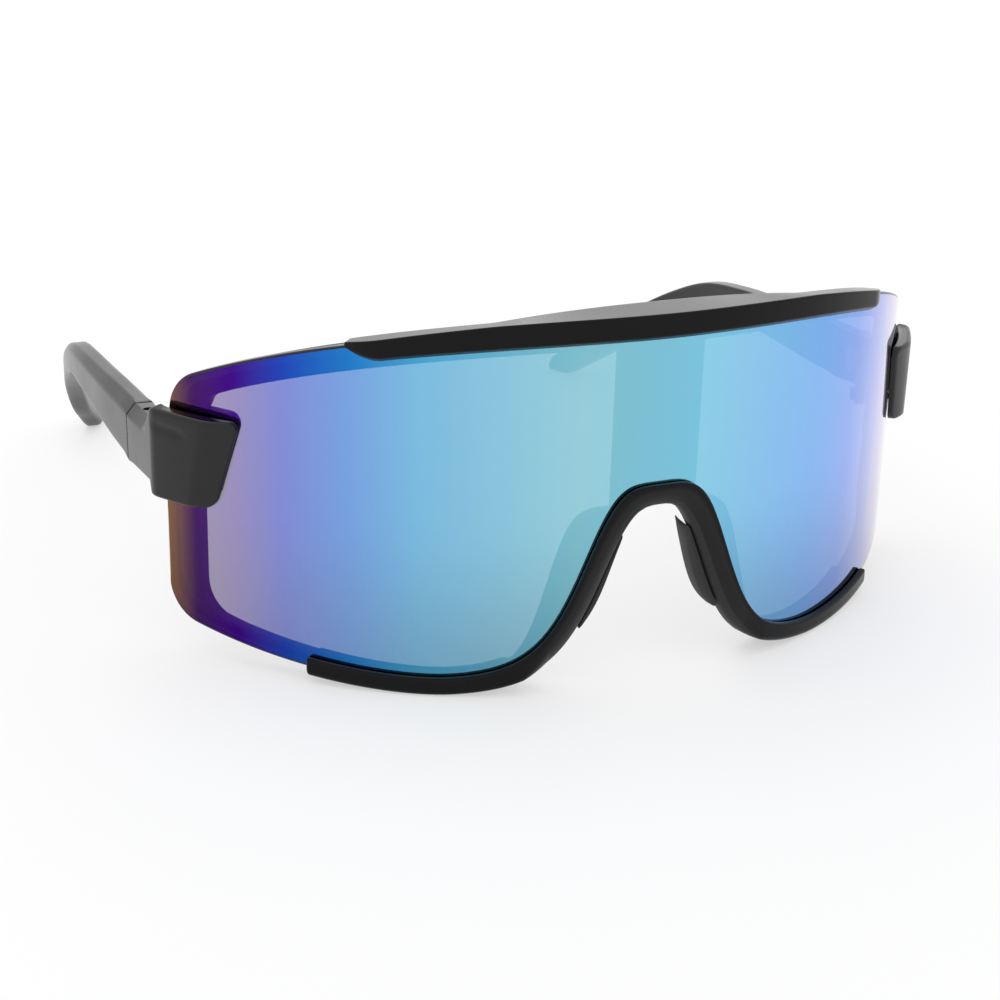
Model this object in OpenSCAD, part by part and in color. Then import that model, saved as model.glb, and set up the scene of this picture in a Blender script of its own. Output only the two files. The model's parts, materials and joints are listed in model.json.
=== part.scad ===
// Shield sunglasses: one curved mirror lens in front of a slim rear frame, a
// brow bar over its top edge, a lower rim that makes the nose arch, two rubber
// nose pads, an endpiece that grips the lens at each side, and folding temples.
// The wearer looks along -Y. Left and right are as seen from the front.
// The glasses stand on the lower rim and the two ear tips, on the plane Z = 0.

/* [Lens] */
// Length of the lens from side to side, along its curved front
lens_l = 168.8; // [158:0.2:178]
// Radius of the lens's front surface, seen from above
lens_r = 80; // [76:1:110]
// Thickness of the lens
lens_t = 1.6; // [1.2:0.1:2]
// Height of the middle of the lens's top edge
lens_top = 61.6; // [58:0.2:66]
// Fall of the top edge from the middle to the sides
lens_top_fall = 15.4; // [10:0.2:18]
// Rise of the bottom edge from its lowest part to the sides
lens_low_rise = 6.3; // [3:0.1:8]
// Arc length from the middle to where the bottom edge starts to rise
low_rise_from = 33.5; // [28:0.5:38]
// How far each side edge leans in at its upper corner
lens_lean = 1.3; // [0:0.1:3]
// Radius of the upper corners
lens_corner_up = 8; // [5:0.5:12]
// Radius of the lower corners
lens_corner_low = 7; // [5:0.5:12]

/* [Lower rim] */
// Arc length from the middle to each end of the rim
rim_arc = 57.2; // [50:0.2:62]
// Height of the rim's front face beside the nose
rim_h = 2.3; // [1.8:0.1:3]
// How far the rim's front face stands before the lens
rim_proud = 1.3; // [0.9:0.1:2]
// Thickness of the rim's rear lip
rim_lip_t = 0.8; // [0.6:0.1:1.4]
// Height of the nose arch, under the rim
nose_h = 31.5; // [27:0.5:34]
// Half width of the nose gap, along the lens, at half of its height
nose_half = 11.1; // [9.5:0.1:12.5]
// Height of the rim's upper edge over its side parts, at the middle
nose_lens_h = 32.4; // [31:0.2:35]
// Half width of that upper edge, along the lens, at half of its height
nose_lens_half = 13.9; // [13:0.1:16]

/* [Rear frame] */
// Thickness of the rear frame
rear_t = 2; // [1.6:0.1:2.6]
// Height of the frame's upper bar over the eye openings
rear_top_h = 4.6; // [3:0.1:7]
// Width of the frame's side posts
rear_side_w = 5.4; // [4.6:0.1:7]
// Height of the frame's lower bar under the eye openings
rear_low_h = 1.8; // [1.2:0.1:3]
// Half width of the bridge post between the eye openings
bridge_half = 7.5; // [5:0.1:9]
// Height of the frame around the nose, over its lower bar
bridge_h = 28.2; // [26:0.2:30]
// Half width of the frame around the nose, at half of that height
bridge_nose_half = 18.3; // [17.5:0.1:20]
// Radius of the outer upper corners of the eye openings
open_corner_up = 5; // [3:0.5:8]
// Radius of the outer lower corners of the eye openings
open_corner_low = 6; // [3:0.5:9]

/* [Brow bar] */
// Arc length from the middle to each pointed end of the bar
bar_arc = 50.8; // [44:0.2:56]
// Length of each slanted end
bar_end_l = 6.2; // [3:0.2:8]
// How far the bar stands before the lens
bar_proud = 2.6; // [2:0.1:3.5]
// Height of the bar's crown over the lens's top edge
bar_crown = 1.6; // [1.2:0.1:2.4]
// Height of the same crown at the slanted ends
bar_end_crown = 0.7; // [0.5:0.1:1.2]
// How far the bar's front lip hangs over the lens
bar_lip_h = 2.7; // [2:0.1:4]
// Height of the bevel under the bar's front face
bar_bevel = 0.8; // [0.4:0.1:1.2]
// Depth of the bar behind the lens's front, at the middle
bar_back = 5; // [4.4:0.1:6]
// The same depth away from the middle
bar_back_side = 2.6; // [2:0.1:3.5]

/* [Nose pads] */
// Thickness of a nose pad
pad_t = 1.3; // [1.1:0.1:2]
// Depth of a nose pad, front to rear
pad_l = 9.5; // [7:0.5:12]
// How far a pad's rear edge flares outwards
pad_flare = 3.6; // [1:0.1:4.4]
// Arc length from the middle to a pad's upper end
pad_from = 6; // [5.4:0.1:7]
// Arc length from the middle to a pad's lower end
pad_to = 12.8; // [11.8:0.2:15]

/* [Endpieces] */
// Thickness of the side wall, beside the lens's edge
side_wall = 2.6; // [2.2:0.1:3.4]
// Height of the side block, which carries the hinge, and of the temple there
side_h = 10; // [9.6:0.1:12]
// Height of the hinge's middle above the ground
hinge_z = 33; // [30:0.1:36]
// How far the front plate stands before the lens
plate_proud = 3; // [2.4:0.1:3.8]
// Height of the front plate
plate_h = 15.2; // [13.4:0.1:17]
// Length of the front plate along the lens, at its top edge
plate_w = 15.8; // [15:0.2:21]
// How much shorter its bottom edge is
plate_slant = 5; // [2:0.2:7]
// How far the plate's middle lies above the hinge's middle
plate_up = 2.1; // [0.5:0.1:2.6]
// Radius of the front plate's inner corners
plate_corner = 1.8; // [1:0.1:2.6]
// Thickness of the clamp behind the rear frame
clamp_t = 2; // [1.6:0.1:2.6]
// How far the clamp reaches back from the lens's side edge
clamp_l = 4; // [3.6:0.1:5]
// Width of the bevel on the upper outer edge of side block and temple
bevel_w = 1.6; // [1:0.1:2]
// Height of the same bevel
bevel_h = 1.9; // [0.8:0.1:2.4]

/* [Temples] */
// Length of a temple behind its seam, along Y
temple_l = 102; // [92:1:112]
// Thickness of the side block and of the temple at its seam
temple_t = 4.6; // [4.2:0.1:5.4]
// Thickness of a temple at its ear tip
tip_t = 3.4; // [2.8:0.1:4.4]
// How far the ear tip curves in towards the head
temple_sweep = 15.6; // [8:0.2:22]

/* [Hinges and screws] */
// Distance from the lens's side edge back to the hinge screw
hinge_back = 10.9; // [9.4:0.1:12.4]
// Distance from the endpiece's outer face in to the hinge screw
hinge_in = 2.9; // [2.7:0.05:3.1]
// Distance from the hinge screw back to the seam
seam_back = 4; // [3.4:0.1:5]
// Radius of the hinge leaf's knuckle
knuckle_r = 1.8; // [1.5:0.05:1.9]
// Thickness of the hinge leaf
leaf_t = 1.2; // [0.8:0.1:1.6]
// Height of the hinge leaf
leaf_h = 5; // [4:0.1:5.6]
// How deep the leaf is anchored in the temple
leaf_anchor = 8; // [5:0.5:12]
// Radius of the hinge screw
pin_r = 0.65; // [0.5:0.05:0.75]
// Radius of the hinge screw's head
pin_head_r = 0.95; // [0.85:0.05:1.05]
// Height of the hinge screw's head
pin_head_h = 0.7; // [0.5:0.1:0.9]
// How deep the head is sunk in the side block
pin_sink = 0.8; // [0.4:0.1:1]
// Radius of a clamp screw
screw_r = 0.6; // [0.5:0.05:0.7]
// Radius of a clamp screw's head
screw_head_r = 1.2; // [1:0.05:1.3]
// Height of a clamp screw's head
screw_head_h = 0.8; // [0.6:0.1:1.2]
// Distance between the two clamp screws of one endpiece
screw_pitch = 7; // [5:0.2:8]

/* [Hidden] */

// Fits and small gaps
face_gap = 0.3;
seat_gap = 0.25;
seam_gap = 0.2;
hinge_gap = 0.2;
run_gap = 0.05;
thread_gap = 0.02;
head_gap = 0.03;
hole_gap = 0.25;
overrun = 1;

// Share of the rim's height at which its groove ends and the lens's edge starts
groove_share = 0.27;
seat_share = 0.35;
rear_lip_share = 0.8;

// Powers of the curves: a higher power keeps the middle flatter
top_power = 2.6;
rise_power = 1.5;
nose_low_power = 3.1;
nose_up_power = 4.1;
bridge_power = 9;

// The lens's half arc along its front surface and in degrees, and half its width
lens_arc = lens_l / 2;
lens_a = arc_a(lens_arc);
lens_half_w = lens_r * sin(lens_a);

black = [0.09, 0.09, 0.1];
satin = [0.16, 0.16, 0.17];
rubber = [0.25, 0.25, 0.26];
steel = [0.6, 0.6, 0.62];

// Angle of an arc length along the lens's front surface, and the way back
function arc_a(s) = s / lens_r * 180 / PI;
function arc_s(a) = a * lens_r * PI / 180;

// Point at angle a round the lens, off before its front surface, at height z
function on_lens(a, off, z) =
    [(lens_r + off) * sin(a), lens_r - (lens_r + off) * cos(a), z];

function limit(v) = max(0, min(1, v));
function mix(a, b, share) = a + (b - a) * share;
function bell(a, h, half, power) = h / (1 + pow(abs(a) / arc_a(half), power));

// Rise of all bottom edges towards the sides
function rise(a) = lens_low_rise
    * pow(limit((abs(a) - arc_a(low_rise_from)) / (lens_a - arc_a(low_rise_from))), rise_power);

// The rim's lower and upper edge, and a height between them
foot_search = [for (a = [arc_a(nose_lens_half) : 0.5 : arc_a(rim_arc)]) a];
rim_foot = min([for (a = foot_search) rise(a) + bell(a, nose_h, nose_half, nose_low_power)]);
function rim_low(a) = rise(a) + bell(a, nose_h, nose_half, nose_low_power) - rim_foot;
function rim_up(a) = rim_h + rise(a) + bell(a, nose_lens_h, nose_lens_half, nose_up_power);
function rim_at(a, share) = mix(rim_low(a), rim_up(a), share);

// Top and bottom edge of the lens without its corners
function top_edge(a) = lens_top - lens_top_fall * pow(abs(a) / lens_a, top_power);
function low_edge(a) = rim_at(a, seat_share);

// Edges with rounded corners, for an outline that lies side_in inside the
// lens's sides. The corner starts where its circle has the edge's own slope.
top_tilt = atan(lens_top_fall * top_power / lens_arc);
low_tilt = atan(lens_low_rise * rise_power / (lens_arc - low_rise_from));
function corner_z(z, s, centre_s, r, sign) =
    z + sign * sqrt(max(0, r * r - pow(s - centre_s, 2)));
function upper(a, edge_in, side_in, r) =
    let (s = arc_s(abs(a)),
         end_s = lens_arc - side_in,
         mid_s = end_s - lens_lean - r,
         from_s = mid_s + r * sin(top_tilt),
         mid_z = top_edge(arc_a(from_s)) - edge_in - r * cos(top_tilt))
    s <= from_s ? top_edge(a) - edge_in
    : s <= mid_s + r ? corner_z(mid_z, s, mid_s, r, 1)
    : mix(mid_z, (mid_z + lens_corner_low) / 2, limit((s - mid_s - r) / lens_lean));
function lower(a, edge_z, edge_end_z, side_in, r) =
    let (s = arc_s(abs(a)),
         mid_s = lens_arc - side_in - r,
         from_s = mid_s + r * sin(low_tilt))
    s <= from_s ? edge_z
    : corner_z(edge_end_z + r * cos(low_tilt), s, mid_s, r, -1);
function lower_start(side_in, r) = arc_a(lens_arc - side_in - r * (1 - sin(low_tilt)));

function lens_up(a) = upper(a, 0, 0, lens_corner_up);
function lens_low(a) =
    lower(a, low_edge(a), low_edge(lower_start(0, lens_corner_low)), 0, lens_corner_low);

// Rear frame's outline, a little inside the lens's
rear_in = 0.3;
rear_top_in = 0.5;
rear_low_in = 0.3;
rear_off = -lens_t - face_gap;
rear_back = rear_off - rear_t;
function rear_up(a) = upper(a, rear_top_in, rear_in, lens_corner_up - rear_in);
function rear_low(a) = lower(a, low_edge(a) + rear_low_in,
    low_edge(lower_start(rear_in, lens_corner_low - rear_in)) + rear_low_in,
    rear_in, lens_corner_low - rear_in);

// Eye opening's outline
function open_edge(a) = low_edge(a) + rear_low_h
    - bell(a, nose_lens_h, nose_lens_half, nose_up_power) * seat_share
    - bell(a, nose_h, nose_half, nose_low_power) * (1 - seat_share)
    + bell(a, bridge_h, bridge_nose_half, bridge_power);
function open_up(a) = upper(a, rear_top_h, rear_side_w, open_corner_up);
function open_low(a) = lower(a, open_edge(a),
    open_edge(lower_start(rear_side_w, open_corner_low)), rear_side_w, open_corner_low);

// Angles along the lens: close together at the nose and at rounded corners
nose_step = 0.75;
side_step = 2;
corner_steps = 6;
nose_a = 18;
function corner_angles(side_in, r) =
    [for (i = [1 : corner_steps])
        arc_a(lens_arc - side_in - r * (1 - sin(90 * i / corner_steps)))];
function side_angles(from_a, to_a) =
    let (n = max(1, ceil((to_a - from_a) / side_step)))
    [for (i = [0 : n - 1]) from_a + (to_a - from_a) * i / n];
function half_angles(side_in, r) = concat(
    [for (a = [nose_step : nose_step : nose_a - nose_step]) a],
    side_angles(nose_a, arc_a(lens_arc - side_in - r)),
    corner_angles(side_in, r));
function both_sides(angles) =
    let (n = len(angles))
    concat([for (i = [n - 1 : -1 : 0]) -angles[i]], [0], angles);

// Solid through a row of rings that all have the same number of points. Its two
// ends are one polygon each, or a fan of triangles where the rings aren't flat.
module loft(rings, fan = false) {
    m = len(rings[0]);
    n = len(rings);
    last = (n - 1) * m;
    ends = fan
        ? [for (j = [1 : m - 2]) each [[0, j + 1, j], [last, last + j, last + j + 1]]]
        : [[for (j = [m - 1 : -1 : 0]) j], [for (j = [0 : m - 1]) last + j]];
    polyhedron(
        points = [for (ring = rings) for (p = ring) p],
        faces = concat(
            ends,
            [for (i = [0 : n - 2]) for (j = [0 : m - 1])
                [i * m + j, (i + 1) * m + (j + 1) % m, (i + 1) * m + j]],
            [for (i = [0 : n - 2]) for (j = [0 : m - 1])
                [i * m + j, i * m + (j + 1) % m, (i + 1) * m + (j + 1) % m]]));
}

// Four-sided band along the lens between two offsets, from low to up
function band_ring(a, front, back, z_low, z_up) = [
    on_lens(a, front, z_low), on_lens(a, front, z_up),
    on_lens(a, back, z_up), on_lens(a, back, z_low)];

// Places of the endpiece and hinge, worked out from the lens's side edge
edge_y = lens_r - lens_r * cos(lens_a);
end_x = lens_half_w + side_wall;
hinge_x = end_x - hinge_in;
hinge_y = edge_y + hinge_back;
seam_y = hinge_y + seam_back;
temple_y = seam_y + seam_gap;
tip_y = temple_y + temple_l;
side_top = hinge_z + side_h / 2;
side_low = hinge_z - side_h / 2;
plate_low = hinge_z + plate_up - plate_h / 2;
plate_in_a = lens_a - arc_a(plate_w);
plate_mid_a = lens_a - arc_a(plate_w) / 2;
clamp_front = rear_back - face_gap;
clamp_back = clamp_front - clamp_t;
slot_a = lens_a + arc_a(seat_gap);
clamp_a = lens_a - arc_a(rear_side_w - face_gap);
screw_a = lens_a - arc_a(rear_side_w + rear_in) / 2;

// The middle of the whole depth is at Y = 0
shift_y = (tip_y - bar_proud) / 2;

module in_place() {
    translate([0, -shift_y, 0]) children();
}

module on_left() {
    mirror([1, 0, 0]) children();
}

// Cylinders on the axes of the two clamp screws of one side
module screw_cylinders(r, from_off, to_off) {
    for (side = [-1, 1])
        translate([0, lens_r, hinge_z + side * screw_pitch / 2])
            rotate([90, 0, screw_a])
                translate([0, 0, lens_r + from_off])
                    cylinder(r = r, h = to_off - from_off, $fn = 32);
}

module lens() {
    color([0.25, 0.55, 0.85, 0.6]) in_place() difference() {
        loft([for (a = both_sides(half_angles(0, lens_corner_up)))
            band_ring(a, 0, -lens_t, lens_low(a), lens_up(a))]);
        screw_cylinders(screw_r + hole_gap, -lens_t - overrun, overrun);
        on_left() screw_cylinders(screw_r + hole_gap, -lens_t - overrun, overrun);
    }
}

// One eye opening, cut through the rear frame. It leaves a lobe of the frame
// behind the endpiece's front plate.
lobe_in = 2.4;
module eye_opening() {
    inner_a = arc_a(bridge_half);
    outer = [for (a = half_angles(rear_side_w, open_corner_up)) if (a > inner_a) a];
    difference() {
        loft([for (a = concat([inner_a], outer))
            band_ring(a, rear_off + overrun, rear_back - overrun, open_low(a), open_up(a))]);
        plate_outline(lobe_in);
    }
}

module rear_frame() {
    color(black) in_place() difference() {
        loft([for (a = both_sides(half_angles(rear_in, lens_corner_up - rear_in)))
            band_ring(a, rear_off, rear_back, rear_low(a), rear_up(a))]);
        eye_opening();
        on_left() eye_opening();
        screw_cylinders(screw_r + hole_gap, rear_back - overrun, rear_off + overrun);
        on_left() screw_cylinders(screw_r + hole_gap, rear_back - overrun, rear_off + overrun);
    }
}

// The bar's slanted end: 1 along the bar, falling to 0 at its tip
function bar_end(a) = sin(90 * limit((bar_arc - arc_s(abs(a))) / bar_end_l));
bar_slim_from = 28;
bar_back_from = 28;
bar_tip = 0.35;
bar_tip_lip = 0.3;
bar_tip_proud = 0.7;
bar_back_share = 0.35;
bar_lip_share = 0.5;
bar_steps = 22;
bar_end_steps = 6;
function bar_ring(a) =
    let (z = top_edge(a),
         end = bar_end(a),
         slim = limit((arc_s(abs(a)) - bar_slim_from) / (bar_arc - bar_slim_from)),
         side = pow(limit(arc_s(abs(a)) / bar_back_from), 2),
         crown = z + mix(bar_crown, bar_end_crown, slim),
         front = mix(bar_tip_proud, bar_proud, end),
         lip = mix(z + seat_gap - bar_tip_lip, z - bar_lip_h, end),
         back = -mix(bar_back, bar_back_side, side),
         back_up = mix(z + seat_gap, crown, mix(1, bar_back_share, side)))
    [on_lens(a, seat_gap, lip), on_lens(a, mix(bar_tip, front, bar_lip_share), lip),
     on_lens(a, front, lip + mix(0, bar_bevel, end)), on_lens(a, front, crown),
     on_lens(a, back, back_up), on_lens(a, back, z + seat_gap),
     on_lens(a, seat_gap, z + seat_gap)];

module brow_bar() {
    end_a = arc_a(bar_arc);
    slant_a = arc_a(bar_arc - bar_end_l);
    angles = concat([for (i = [1 : bar_steps]) slant_a * i / bar_steps],
        [for (i = [1 : bar_end_steps]) mix(slant_a, end_a, i / bar_end_steps)]);
    color(black) in_place() loft([for (a = both_sides(angles)) bar_ring(a)]);
}

// Cross-section of the lower rim: a channel for the lens and the rear frame
rim_chamfer = 0.5;
rim_chamfer_share = 0.2;
rim_lip_front = rear_back - face_gap;
rim_back = rim_lip_front - rim_lip_t;
// Beside the nose the rear lip is low and stands just behind the lens, under
// the rear frame: it sinks over one stretch and then moves forward over the next
nose_lip_share = 0.33;
nose_lip_front = -lens_t - 0.5;
nose_back = nose_lip_front - rim_lip_t;
lip_sink = [25, 22];
lip_shift = [22, 18];
function fade(a, span) = limit((span[0] - arc_s(abs(a))) / (span[0] - span[1]));
function rim_ring(a) =
    let (low = rim_low(a), up = rim_up(a),
         floor_z = rim_at(a, groove_share),
         lip_z = rim_at(a, mix(rear_lip_share, nose_lip_share, fade(a, lip_sink))),
         lip_front = mix(rim_lip_front, nose_lip_front, fade(a, lip_shift)),
         back = mix(rim_back, nose_back, fade(a, lip_shift)),
         chamfer = mix(low, up, rim_chamfer_share))
    [on_lens(a, rim_proud - rim_chamfer, low), on_lens(a, rim_proud, chamfer),
     on_lens(a, rim_proud, up), on_lens(a, seat_gap, up),
     on_lens(a, seat_gap, floor_z), on_lens(a, lip_front, floor_z),
     on_lens(a, lip_front, lip_z), on_lens(a, back, lip_z),
     on_lens(a, back, low)];

module lower_rim() {
    angles = concat([for (a = [nose_step : nose_step : nose_a - nose_step]) a],
        side_angles(nose_a, arc_a(rim_arc)), [arc_a(rim_arc)]);
    color(black) in_place() loft([for (a = both_sides(angles)) rim_ring(a)]);
}

// Slope of the nose arch, height over arc length
function arch_slope(a) =
    (rim_low(a + nose_step / 2) - rim_low(a - nose_step / 2)) / arc_s(nose_step);

// Nose pad: a flap under the arch's flank that flares out behind the rim
pad_front = -0.9;
pad_gap = 0.15;
pad_end_share = 0.4;
// Corners of its cross-section, as shares of its thickness and of its depth
pad_shares = [[0, 0], [0.7, 0], [1, 0.15], [1, 0.7], [0.55, 1], [0.1, 0.9], [0, 0.45]];
pad_steps = 12;
pad_rim_l = pad_front - nose_back;
function pad_out(depth) = pad_flare * pow(limit((depth - pad_rim_l) / (pad_l - pad_rim_l)), 2);
function pad_point(a, z, depth) =
    on_lens(a, pad_front - depth, z) + [pad_out(depth), 0, 0];
// The pad's depth shrinks towards its lower end, and a little towards its upper
pad_low_share = 0.3;
pad_up_share = 0.6;
pad_low_l = 3.4;
pad_up_l = 1.6;
function pad_depth(a) = pad_l
    * mix(pad_low_share, 1, sin(90 * limit((pad_to - arc_s(a)) / pad_low_l)))
    * mix(pad_up_share, 1, sin(90 * limit((arc_s(a) - pad_from) / pad_up_l)));
function pad_ring(a, share) =
    let (steep = sqrt(1 + pow(arch_slope(a), 2)),
         t = pad_t * mix(pad_end_share, 1, sin(180 * share)) * steep,
         up = rim_low(a) - pad_gap * steep)
    [for (p = pad_shares) pad_point(a, up - t * p[0], pad_depth(a) * p[1])];

module nose_pad() {
    from_a = arc_a(pad_from);
    to_a = arc_a(pad_to);
    loft([for (i = [0 : pad_steps])
        pad_ring(mix(to_a, from_a, i / pad_steps), i / pad_steps)], fan = true);
}

module nose_pad_right() {
    color(rubber) in_place() nose_pad();
}

module nose_pad_left() {
    color(rubber) in_place() on_left() nose_pad();
}

// Ring in plan between two offsets, cut to a wedge of angles
module plan_ring(outer, inner, from_a, to_a) {
    reach = lens_r * 2;
    translate([0, lens_r]) intersection() {
        difference() {
            circle(r = lens_r + outer, $fn = 180);
            circle(r = lens_r + inner, $fn = 180);
        }
        polygon([[0, 0], reach * [sin(from_a), -cos(from_a)], reach * [sin(to_a), -cos(to_a)]]);
    }
}

// Endpiece's clamp in plan: front plate, side wall and rear clamp round a slot
wedge_a = 12;
module clamp_plan() {
    difference() {
        intersection() {
            plan_ring(plate_proud, clamp_back, plate_in_a - wedge_a, lens_a + wedge_a);
            square([end_x, edge_y + clamp_l]);
        }
        plan_ring(seat_gap, clamp_front, plate_in_a - 2 * wedge_a, slot_a);
        plan_ring(0, clamp_back - overrun, plate_in_a - 2 * wedge_a, clamp_a);
    }
}

// Points of one rounded corner of a polygon
plate_steps = 5;
function unit(v) = v / norm(v);
function round_corner(before, at, after, r) =
    let (v1 = unit(before - at), v2 = unit(after - at),
         half = acos(v1 * v2) / 2,
         mid = at + unit(v1 + v2) * r / sin(half),
         a = at + v1 * r / tan(half) - mid, b = at + v2 * r / tan(half) - mid)
    [for (i = [0 : plate_steps]) mid + r * unit(mix(a, b, i / plate_steps))];

// Outline of the front plate seen along the lens's radius, as a long bar. Its
// inner end may be shorter.
module plate_outline(shorter = 0) {
    r = lens_r + plate_proud;
    top = plate_low + plate_h;
    out_x = plate_w;
    p = [[out_x, plate_low], [out_x, top], [r * sin(plate_in_a - plate_mid_a) + shorter, top],
        [r * sin(plate_in_a + arc_a(plate_slant) - plate_mid_a) + shorter, plate_low]];
    translate([0, lens_r, 0]) rotate([90, 0, plate_mid_a])
        translate([0, 0, lens_r / 2]) linear_extrude(height = lens_r)
            polygon(concat([p[0], p[1]], round_corner(p[1], p[2], p[3], plate_corner),
                round_corner(p[2], p[3], p[0], plate_corner)));
}

// Space before the plate's front near its inner end, where it thins out. It
// leans with the inner end.
plate_tip = 1;
plate_taper = 6;
module taper_space() {
    lean = plate_slant / plate_h;
    top = plate_low + plate_h;
    from_x = (lens_r + plate_proud) * sin(plate_in_a - plate_mid_a);
    to_x = from_x + plate_taper;
    function front(off, x) = sqrt(pow(lens_r + off, 2) - x * x);
    translate([0, lens_r, 0]) rotate([90, 0, plate_mid_a])
        multmatrix([[1, -lean, 0, lean * top], [0, 1, 0, 0], [0, 0, 1, 0]])
            rotate([90, 0, 0]) translate([0, 0, -top - overrun])
                linear_extrude(height = plate_h + 2 * overrun)
                    polygon([[from_x, front(plate_tip, from_x)],
                        [to_x, front(plate_proud, to_x)],
                        [to_x, lens_r + plate_proud + overrun],
                        [from_x - overrun, lens_r + plate_proud + overrun],
                        [from_x - overrun, front(plate_tip, from_x)]]);
}

// Clamp seen from the side: its shoulder slopes down to the side block
shoulder_l = 1.5;
module shoulder_outline() {
    top = plate_low + plate_h;
    rotate([90, 0, 90]) linear_extrude(height = end_x + overrun)
        polygon([[0, plate_low], [edge_y + clamp_l, plate_low], [edge_y + clamp_l, side_top],
            [edge_y - shoulder_l, top], [0, top]]);
}

// Side block in plan. Its inner rear corner is round about the hinge screw, so
// that the temple's end clears it.
side_from_share = 0.75;
module side_plan() {
    from_y = edge_y + clamp_l * side_from_share;
    difference() {
        translate([end_x - temple_t, from_y]) square([temple_t, seam_y - from_y]);
        translate([hinge_x, hinge_y]) difference() {
            translate([-temple_t, 0]) square([temple_t, seam_back + overrun]);
            circle(r = seam_back, $fn = 96);
        }
    }
}

// Space above the bevel on the upper outer edge
module bevel_space() {
    translate([0, seam_y + overrun, 0]) rotate([90, 0, 0])
        linear_extrude(height = seam_y - edge_y)
            polygon([[end_x - 2 * bevel_w, side_top + bevel_h],
                [end_x + bevel_w, side_top - 2 * bevel_h],
                [end_x + bevel_w, side_top + bevel_h]]);
}

// Vertical cylinder on the hinge axis
module hinge_cylinder(r, from_z, to_z) {
    translate([hinge_x, hinge_y, from_z]) cylinder(r = r, h = to_z - from_z, $fn = 48);
}

// Slot in which the hinge leaf turns from straight back to straight inwards
slot_h = leaf_h + 2 * hinge_gap;
module leaf_slot() {
    r = knuckle_r + hinge_gap;
    translate([hinge_x, hinge_y, hinge_z - slot_h / 2]) linear_extrude(height = slot_h) {
        circle(r = r, $fn = 48);
        translate([-temple_t, -r]) square([temple_t, seam_back + r + overrun]);
        translate([-temple_t, 0])
            square([temple_t + leaf_t / 2 + hinge_gap, seam_back + overrun]);
    }
}

pin_low = side_low + pin_sink;
pin_head_z = side_top - pin_sink - pin_head_h;
plate_skin = 0.9;

module endpiece() {
    difference() {
        union() {
            intersection() {
                translate([0, 0, plate_low]) linear_extrude(height = plate_h) clamp_plan();
                plate_outline();
                shoulder_outline();
            }
            difference() {
                translate([0, 0, side_low]) linear_extrude(height = side_h) side_plan();
                bevel_space();
            }
        }
        taper_space();
        leaf_slot();
        hinge_cylinder(pin_r + thread_gap, pin_low, side_top + overrun);
        hinge_cylinder(pin_head_r + run_gap, pin_head_z, side_top + overrun);
        screw_cylinders(screw_r + thread_gap, 0, plate_proud - plate_skin);
        screw_cylinders(screw_r + run_gap, clamp_back - overrun, 0);
    }
}

module endpiece_right() {
    color(satin) in_place() endpiece();
}

module endpiece_left() {
    color(satin) in_place() on_left() endpiece();
}

module clamp_screw_pair() {
    screw_cylinders(screw_r, clamp_back - face_gap, plate_proud - plate_skin - thread_gap);
    screw_cylinders(screw_head_r, clamp_back - head_gap - screw_head_h, clamp_back - head_gap);
}

module clamp_screws() {
    color(steel) in_place() {
        clamp_screw_pair();
        on_left() clamp_screw_pair();
    }
}

module hinge_screw() {
    hinge_cylinder(pin_r, pin_low + thread_gap, pin_head_z + thread_gap);
    hinge_cylinder(pin_head_r, pin_head_z + thread_gap, pin_head_z + pin_head_h);
}

module hinge_screws() {
    color(steel) in_place() {
        hinge_screw();
        on_left() hinge_screw();
    }
}

// Space of the hinge leaf's plate, from the hinge axis into the temple
module leaf_plate() {
    translate([hinge_x - leaf_t / 2, hinge_y, hinge_z - leaf_h / 2])
        cube([leaf_t, seam_back + seam_gap + leaf_anchor, leaf_h]);
}

module hinge_leaf() {
    difference() {
        union() {
            hinge_cylinder(knuckle_r, hinge_z - leaf_h / 2, hinge_z + leaf_h / 2);
            leaf_plate();
        }
        hinge_cylinder(pin_r + run_gap, hinge_z - leaf_h, hinge_z + leaf_h);
    }
}

module hinge_leaf_right() {
    color(steel) in_place() hinge_leaf();
}

module hinge_leaf_left() {
    color(steel) in_place() on_left() hinge_leaf();
}

// Temple's side view: shares of its length, its top edge there as shares of the
// height of its seam's top, and its height there as shares of the side block's
path_shares = [0, 0.12, 0.25, 0.4, 0.52, 0.64, 0.76, 0.88, 1];
path_top_shares = [1, 0.985, 0.96, 0.925, 0.87, 0.735, 0.55, 0.325, 0.09];
path_h_shares = [1, 0.95, 0.82, 0.66, 0.6, 0.62, 0.68, 0.72, 0.5];
sweep_from_share = 0.12;
sweep_power = 3.3;

// Smooth curve through a table of values, at share u
function table_index(u) =
    max([for (i = [0 : len(path_shares) - 2]) if (path_shares[i] <= u) i]);
function table_slope(table, i) =
    i == 0 || i == len(table) - 1 ? 0
    : (table[i + 1] - table[i - 1]) / (path_shares[i + 1] - path_shares[i - 1]);
function smooth(table, u) =
    let (i = table_index(u), w = path_shares[i + 1] - path_shares[i],
         t = (u - path_shares[i]) / w,
         a = table[i], b = table[i + 1],
         da = table_slope(table, i) * w, db = table_slope(table, i + 1) * w)
    a + da * t + (3 * (b - a) - 2 * da - db) * pow(t, 2) + (2 * (a - b) + da + db) * pow(t, 3);

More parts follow.
